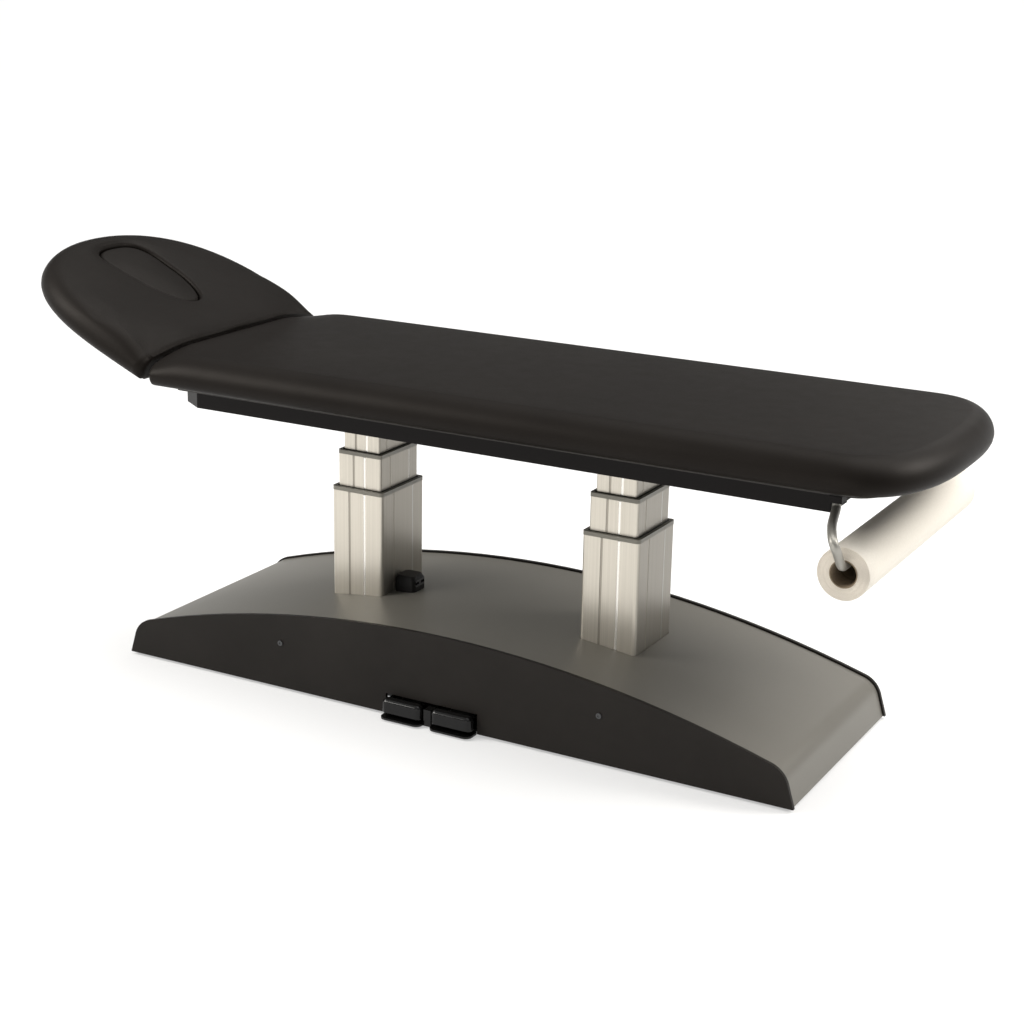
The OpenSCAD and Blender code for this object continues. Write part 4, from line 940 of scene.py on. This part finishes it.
# Points of the bent arm, as shares of the way from its upper end to the start of the bar
ARM_SHARES = [(0, 0, 0), (0, 0, 0.1), (0, 0.01, 0.15), (0.035, 0.114, 0.228), (0.18, 0.5, 0.296),
              (0.438, 1.043, 0.33), (0.766, 1.529, 0.416), (0.953, 1.657, 0.527), (1, 1.529, 0.659),
              (1, 1.286, 0.872), (1, 1.136, 0.969), (1, 1, 1)]
ARM_STEPS = 8
BAR_STEPS, BAR_STEP = 21, 0.03
ROD_SIDES = 32
# Radius share and distance from the end, of the rings that round the bar's end
BAR_END = ((1.0, 0.0012), (0.93, 0.0003), (0.82, 0.0))
# A direction that the rod never runs along
ASKEW = Vector((0.93, 0.36, 0))


def spline(a, b, c, d, t):
    """A point between b and c, on the smooth curve through all four."""
    return b + (c - a) * (t / 2) + (a * 2 - b * 5 + c * 4 - d) * (t * t / 2) \
        + (b * 3 - a - c * 3 + d) * (t * t * t / 2)


def rod_ring(at, along, radius):
    """A circle of points across the rod's direction."""
    across = along.cross(ASKEW).normalized()
    up = along.cross(across)
    angles = [2 * math.pi * j / ROD_SIDES for j in range(ROD_SIDES)]
    return [at + radius * (math.cos(a) * across + math.sin(a) * up) for a in angles]


def add_roll_rod():
    """The bent rod from the frame's corner, which runs on as the bar through the roll."""
    way = BAR_FROM - ARM_FROM
    knots = [ARM_FROM + Vector((s[0] * way[0], s[1] * way[1], s[2] * way[2])) for s in ARM_SHARES]
    ended = knots[:1] + knots + knots[-1:]
    line = [ARM_FROM + Vector((0, 0, ARM_UP))]
    line += [spline(*ended[i:i + 4], j / ARM_STEPS) for i in range(len(knots) - 1) for j in range(ARM_STEPS)]
    line += [BAR_FROM + Vector((0, BAR_STEP * i, 0)) for i in range(BAR_STEPS)]
    rings = [rod_ring(line[0], Vector((0, 0, -1)), BAR_RADIUS)]
    for i in range(1, len(line)):
        along = (line[min(i + 1, len(line) - 1)] - line[i - 1]).normalized()
        rings.append(rod_ring(line[i], along, BAR_RADIUS))
    bar_way = Vector((0, 1, 0))
    end = Vector((BAR_FROM[0], BAR_TO_Y, BAR_FROM[2]))
    rings += [rod_ring(end - bar_way * back, bar_way, BAR_RADIUS * share) for share, back in BAR_END]
    vertices, faces = skin_rings(rings, close_ends=True)
    rod = piece_from("roll_rod", vertices, faces, [ROD], "top", sharp=40)
    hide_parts("roll_holder_arm", "roll_holder_bar")


ROLL_FROM_Y, ROLL_TO_Y = -0.290, 0.322
ROLL_INNER, ROLL_OUTER = 0.0250, 0.0469
ROLL_POINTS, ROLL_STEPS, BORE_STEPS = 144, 14, 6
CORE_EDGE = 0.0004
# The small step of the sheet's free edge, and where it lies on the last turn
FREE_EDGE, FREE_EDGE_TURN = 0.0003, 0.18
# The slightly uneven ends of the roll: rings, rounding, depth of the face, dents and waves
END_RINGS, END_ROUND, END_SUNK, END_EDGE, END_DENT, END_WAVE = 9, 0.0007, 0.0006, 0.0010, 0.00035, 0.0002
# How fast the dents follow one another on each end, and where they start
NEAR_DENTS, FAR_DENTS = (2.1, 0), (1.7, 1)


def roll_loop(radius, y, wave=0.0, phase=0.0):
    """A ring round the roll's axis. On the outside the last turn ends in a small step at the free edge."""
    points = []
    for i in range(ROLL_POINTS):
        a = 2 * math.pi * i / ROLL_POINTS
        turn = (a / (2 * math.pi) + FREE_EDGE_TURN) % 1.0
        r = radius - FREE_EDGE * (1 - turn) if radius == ROLL_OUTER else radius
        points.append((ROLL_AXIS[0] + r * math.cos(a), y + wave * math.sin(3 * a + phase),
                       ROLL_AXIS[2] + r * math.sin(a)))
    return points


def roll_end_rings(end_y, inwards, dent_pace, dent_start):
    """Rings of one end face of the roll, from the bore to the rounded edge."""
    step = (ROLL_OUTER - END_ROUND - ROLL_INNER) / (END_RINGS - 1)
    radii = [ROLL_INNER + step * i for i in range(END_RINGS)]
    if inwards < 0:
        radii.reverse()
    sunk = [END_SUNK + END_DENT * math.sin(i * dent_pace + dent_start) for i in range(END_RINGS)]
    return [roll_loop(radii[i], end_y + inwards * sunk[i], END_WAVE, i) for i in range(END_RINGS)]


def add_paper_roll():
    """The wound sheet, with its free edge along the roll and slightly uneven ends."""
    length = ROLL_TO_Y - ROLL_FROM_Y
    near_end = roll_end_rings(ROLL_FROM_Y, 1, *NEAR_DENTS)
    side = [roll_loop(ROLL_OUTER, ROLL_FROM_Y + END_EDGE)]
    side += [roll_loop(ROLL_OUTER, ROLL_FROM_Y + length * i / ROLL_STEPS) for i in range(1, ROLL_STEPS)]
    side.append(roll_loop(ROLL_OUTER, ROLL_TO_Y - END_EDGE))
    far_end = roll_end_rings(ROLL_TO_Y, -1, *FAR_DENTS)
    bore = [roll_loop(ROLL_INNER, ROLL_TO_Y - length * i / BORE_STEPS) for i in range(1, BORE_STEPS)]
    rings = near_end + side + far_end + bore
    vertices, faces = skin_rings(rings, loop=True)
    roll = piece_from("wound_paper", vertices, faces, [PAPER, PAPER_EDGE], "roll", sharp=50)
    far_start = END_RINGS + ROLL_STEPS
    for index, polygon in enumerate(roll.data.polygons):
        row = index // ROLL_POINTS
        polygon.material_index = int(row < END_RINGS or far_start <= row < far_start + END_RINGS)
    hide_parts("paper_roll")


add_roll_rod()
add_paper_roll()
softened("roll_core", CORE_EDGE, 2)

# Floor, light and surroundings

FLOOR_HALF = 60.0
FLOOR_GREY, FLOOR_GLOW = 0.55, 0.42
KEY_DIRECTION, KEY_STRENGTH, KEY_SPREAD, KEY_COLOUR = (0.10, 0.25, 1.0), 2.0, 55, (1.0, 0.99, 0.97)
# Place, aim, size, power and colour of each softbox
SOFTBOXES = {
    "left_softbox": ((-3.2, -2.2, 2.7), (-0.5, 0, 0.3), (2.4, 1.8), 150, (1.0, 0.975, 0.93)),
    "front_softbox": ((0.4, -3.6, 0.9), (0.8, 0, 0.4), (1.6, 1.2), 16, (1.0, 0.975, 0.93)),
    "right_softbox": ((2.7, 1.3, 2.3), (0.9, -0.2, 0.5), (1.4, 1.2), 74, (1.0, 0.97, 0.93)),
    "rear_softbox": ((0.6, 4.5, 2.6), (0.7, 0, 0.65), (1.6, 1.0), 10, (1.0, 0.97, 0.93)),
}
# (height of the direction, level): bright at the horizon, dim above it, brighter again overhead
WORLD_LEVELS = ((0.0, 1.0), (0.11, 1.0), (0.14, 0.05), (0.26, 0.08), (0.55, 0.34), (1.0, 0.80))
WORLD_BLUE = 0.99


def add_floor():
    """A wide pale floor that glows a little, so that it meets the background without a line."""
    corners = [(x * FLOOR_HALF, y * FLOOR_HALF, 0) for x, y in ((-1, -1), (1, -1), (1, 1), (-1, 1))]
    mesh = bpy.data.meshes.new("floor")
    mesh.from_pydata(corners, [], [(0, 1, 2, 3)])
    f = Finish("pale_floor", (FLOOR_GREY,) * 3, 0.8, Specular_IOR_Level=0.1, Emission_Strength=FLOOR_GLOW,
               Emission_Color=(1, 1, 1, 1))
    mesh.materials.append(f.material)
    floor = bpy.data.objects.new("floor", mesh)
    bpy.context.scene.collection.objects.link(floor)


def add_lamp(name, data, power, colour, towards_lamp, at=(0, 0, 0)):
    """A lamp that shines away from the direction towards_lamp."""
    data.energy, data.color = power, colour
    lamp = bpy.data.objects.new(name, data)
    lamp.location = at
    lamp.rotation_euler = Vector(towards_lamp).to_track_quat("Z", "Y").to_euler()
    bpy.context.scene.collection.objects.link(lamp)


def add_lights():
    """One wide soft light from above and four softboxes round the table."""
    key = bpy.data.lights.new("key", "SUN")
    key.angle = math.radians(KEY_SPREAD)
    add_lamp("key", key, KEY_STRENGTH, KEY_COLOUR, KEY_DIRECTION)
    for name, (at, aim, size, power, colour) in SOFTBOXES.items():
        box = bpy.data.lights.new(name, "AREA")
        box.shape = "RECTANGLE"
        box.size, box.size_y = size
        add_lamp(name, box, power, colour, Vector(at) - Vector(aim), at)


def add_world():
    """Light from all around, which changes only with the height that it comes from."""
    world = bpy.data.worlds.new("studio")
    world.use_nodes = True
    sky = Nodes(world.node_tree)
    direction = sky.node("ShaderNodeTexCoord", output="Generated")
    height = sky.node("ShaderNodeSeparateXYZ", {}, {"Vector": direction}, "Z")
    stops = [(place, (level, level, level * WORLD_BLUE)) for place, level in WORLD_LEVELS]
    background = next(n for n in sky.tree.nodes if n.type == "BACKGROUND")
    sky.feed(background.inputs["Color"], sky.node("ShaderNodeValToRGB", {"stops": stops}, {"Fac": height}))
    sky.feed(background.inputs["Strength"], 1.0)
    bpy.context.scene.world = world


bpy.context.scene.view_settings.view_transform = "Standard"
add_floor()
add_world()
add_lights()
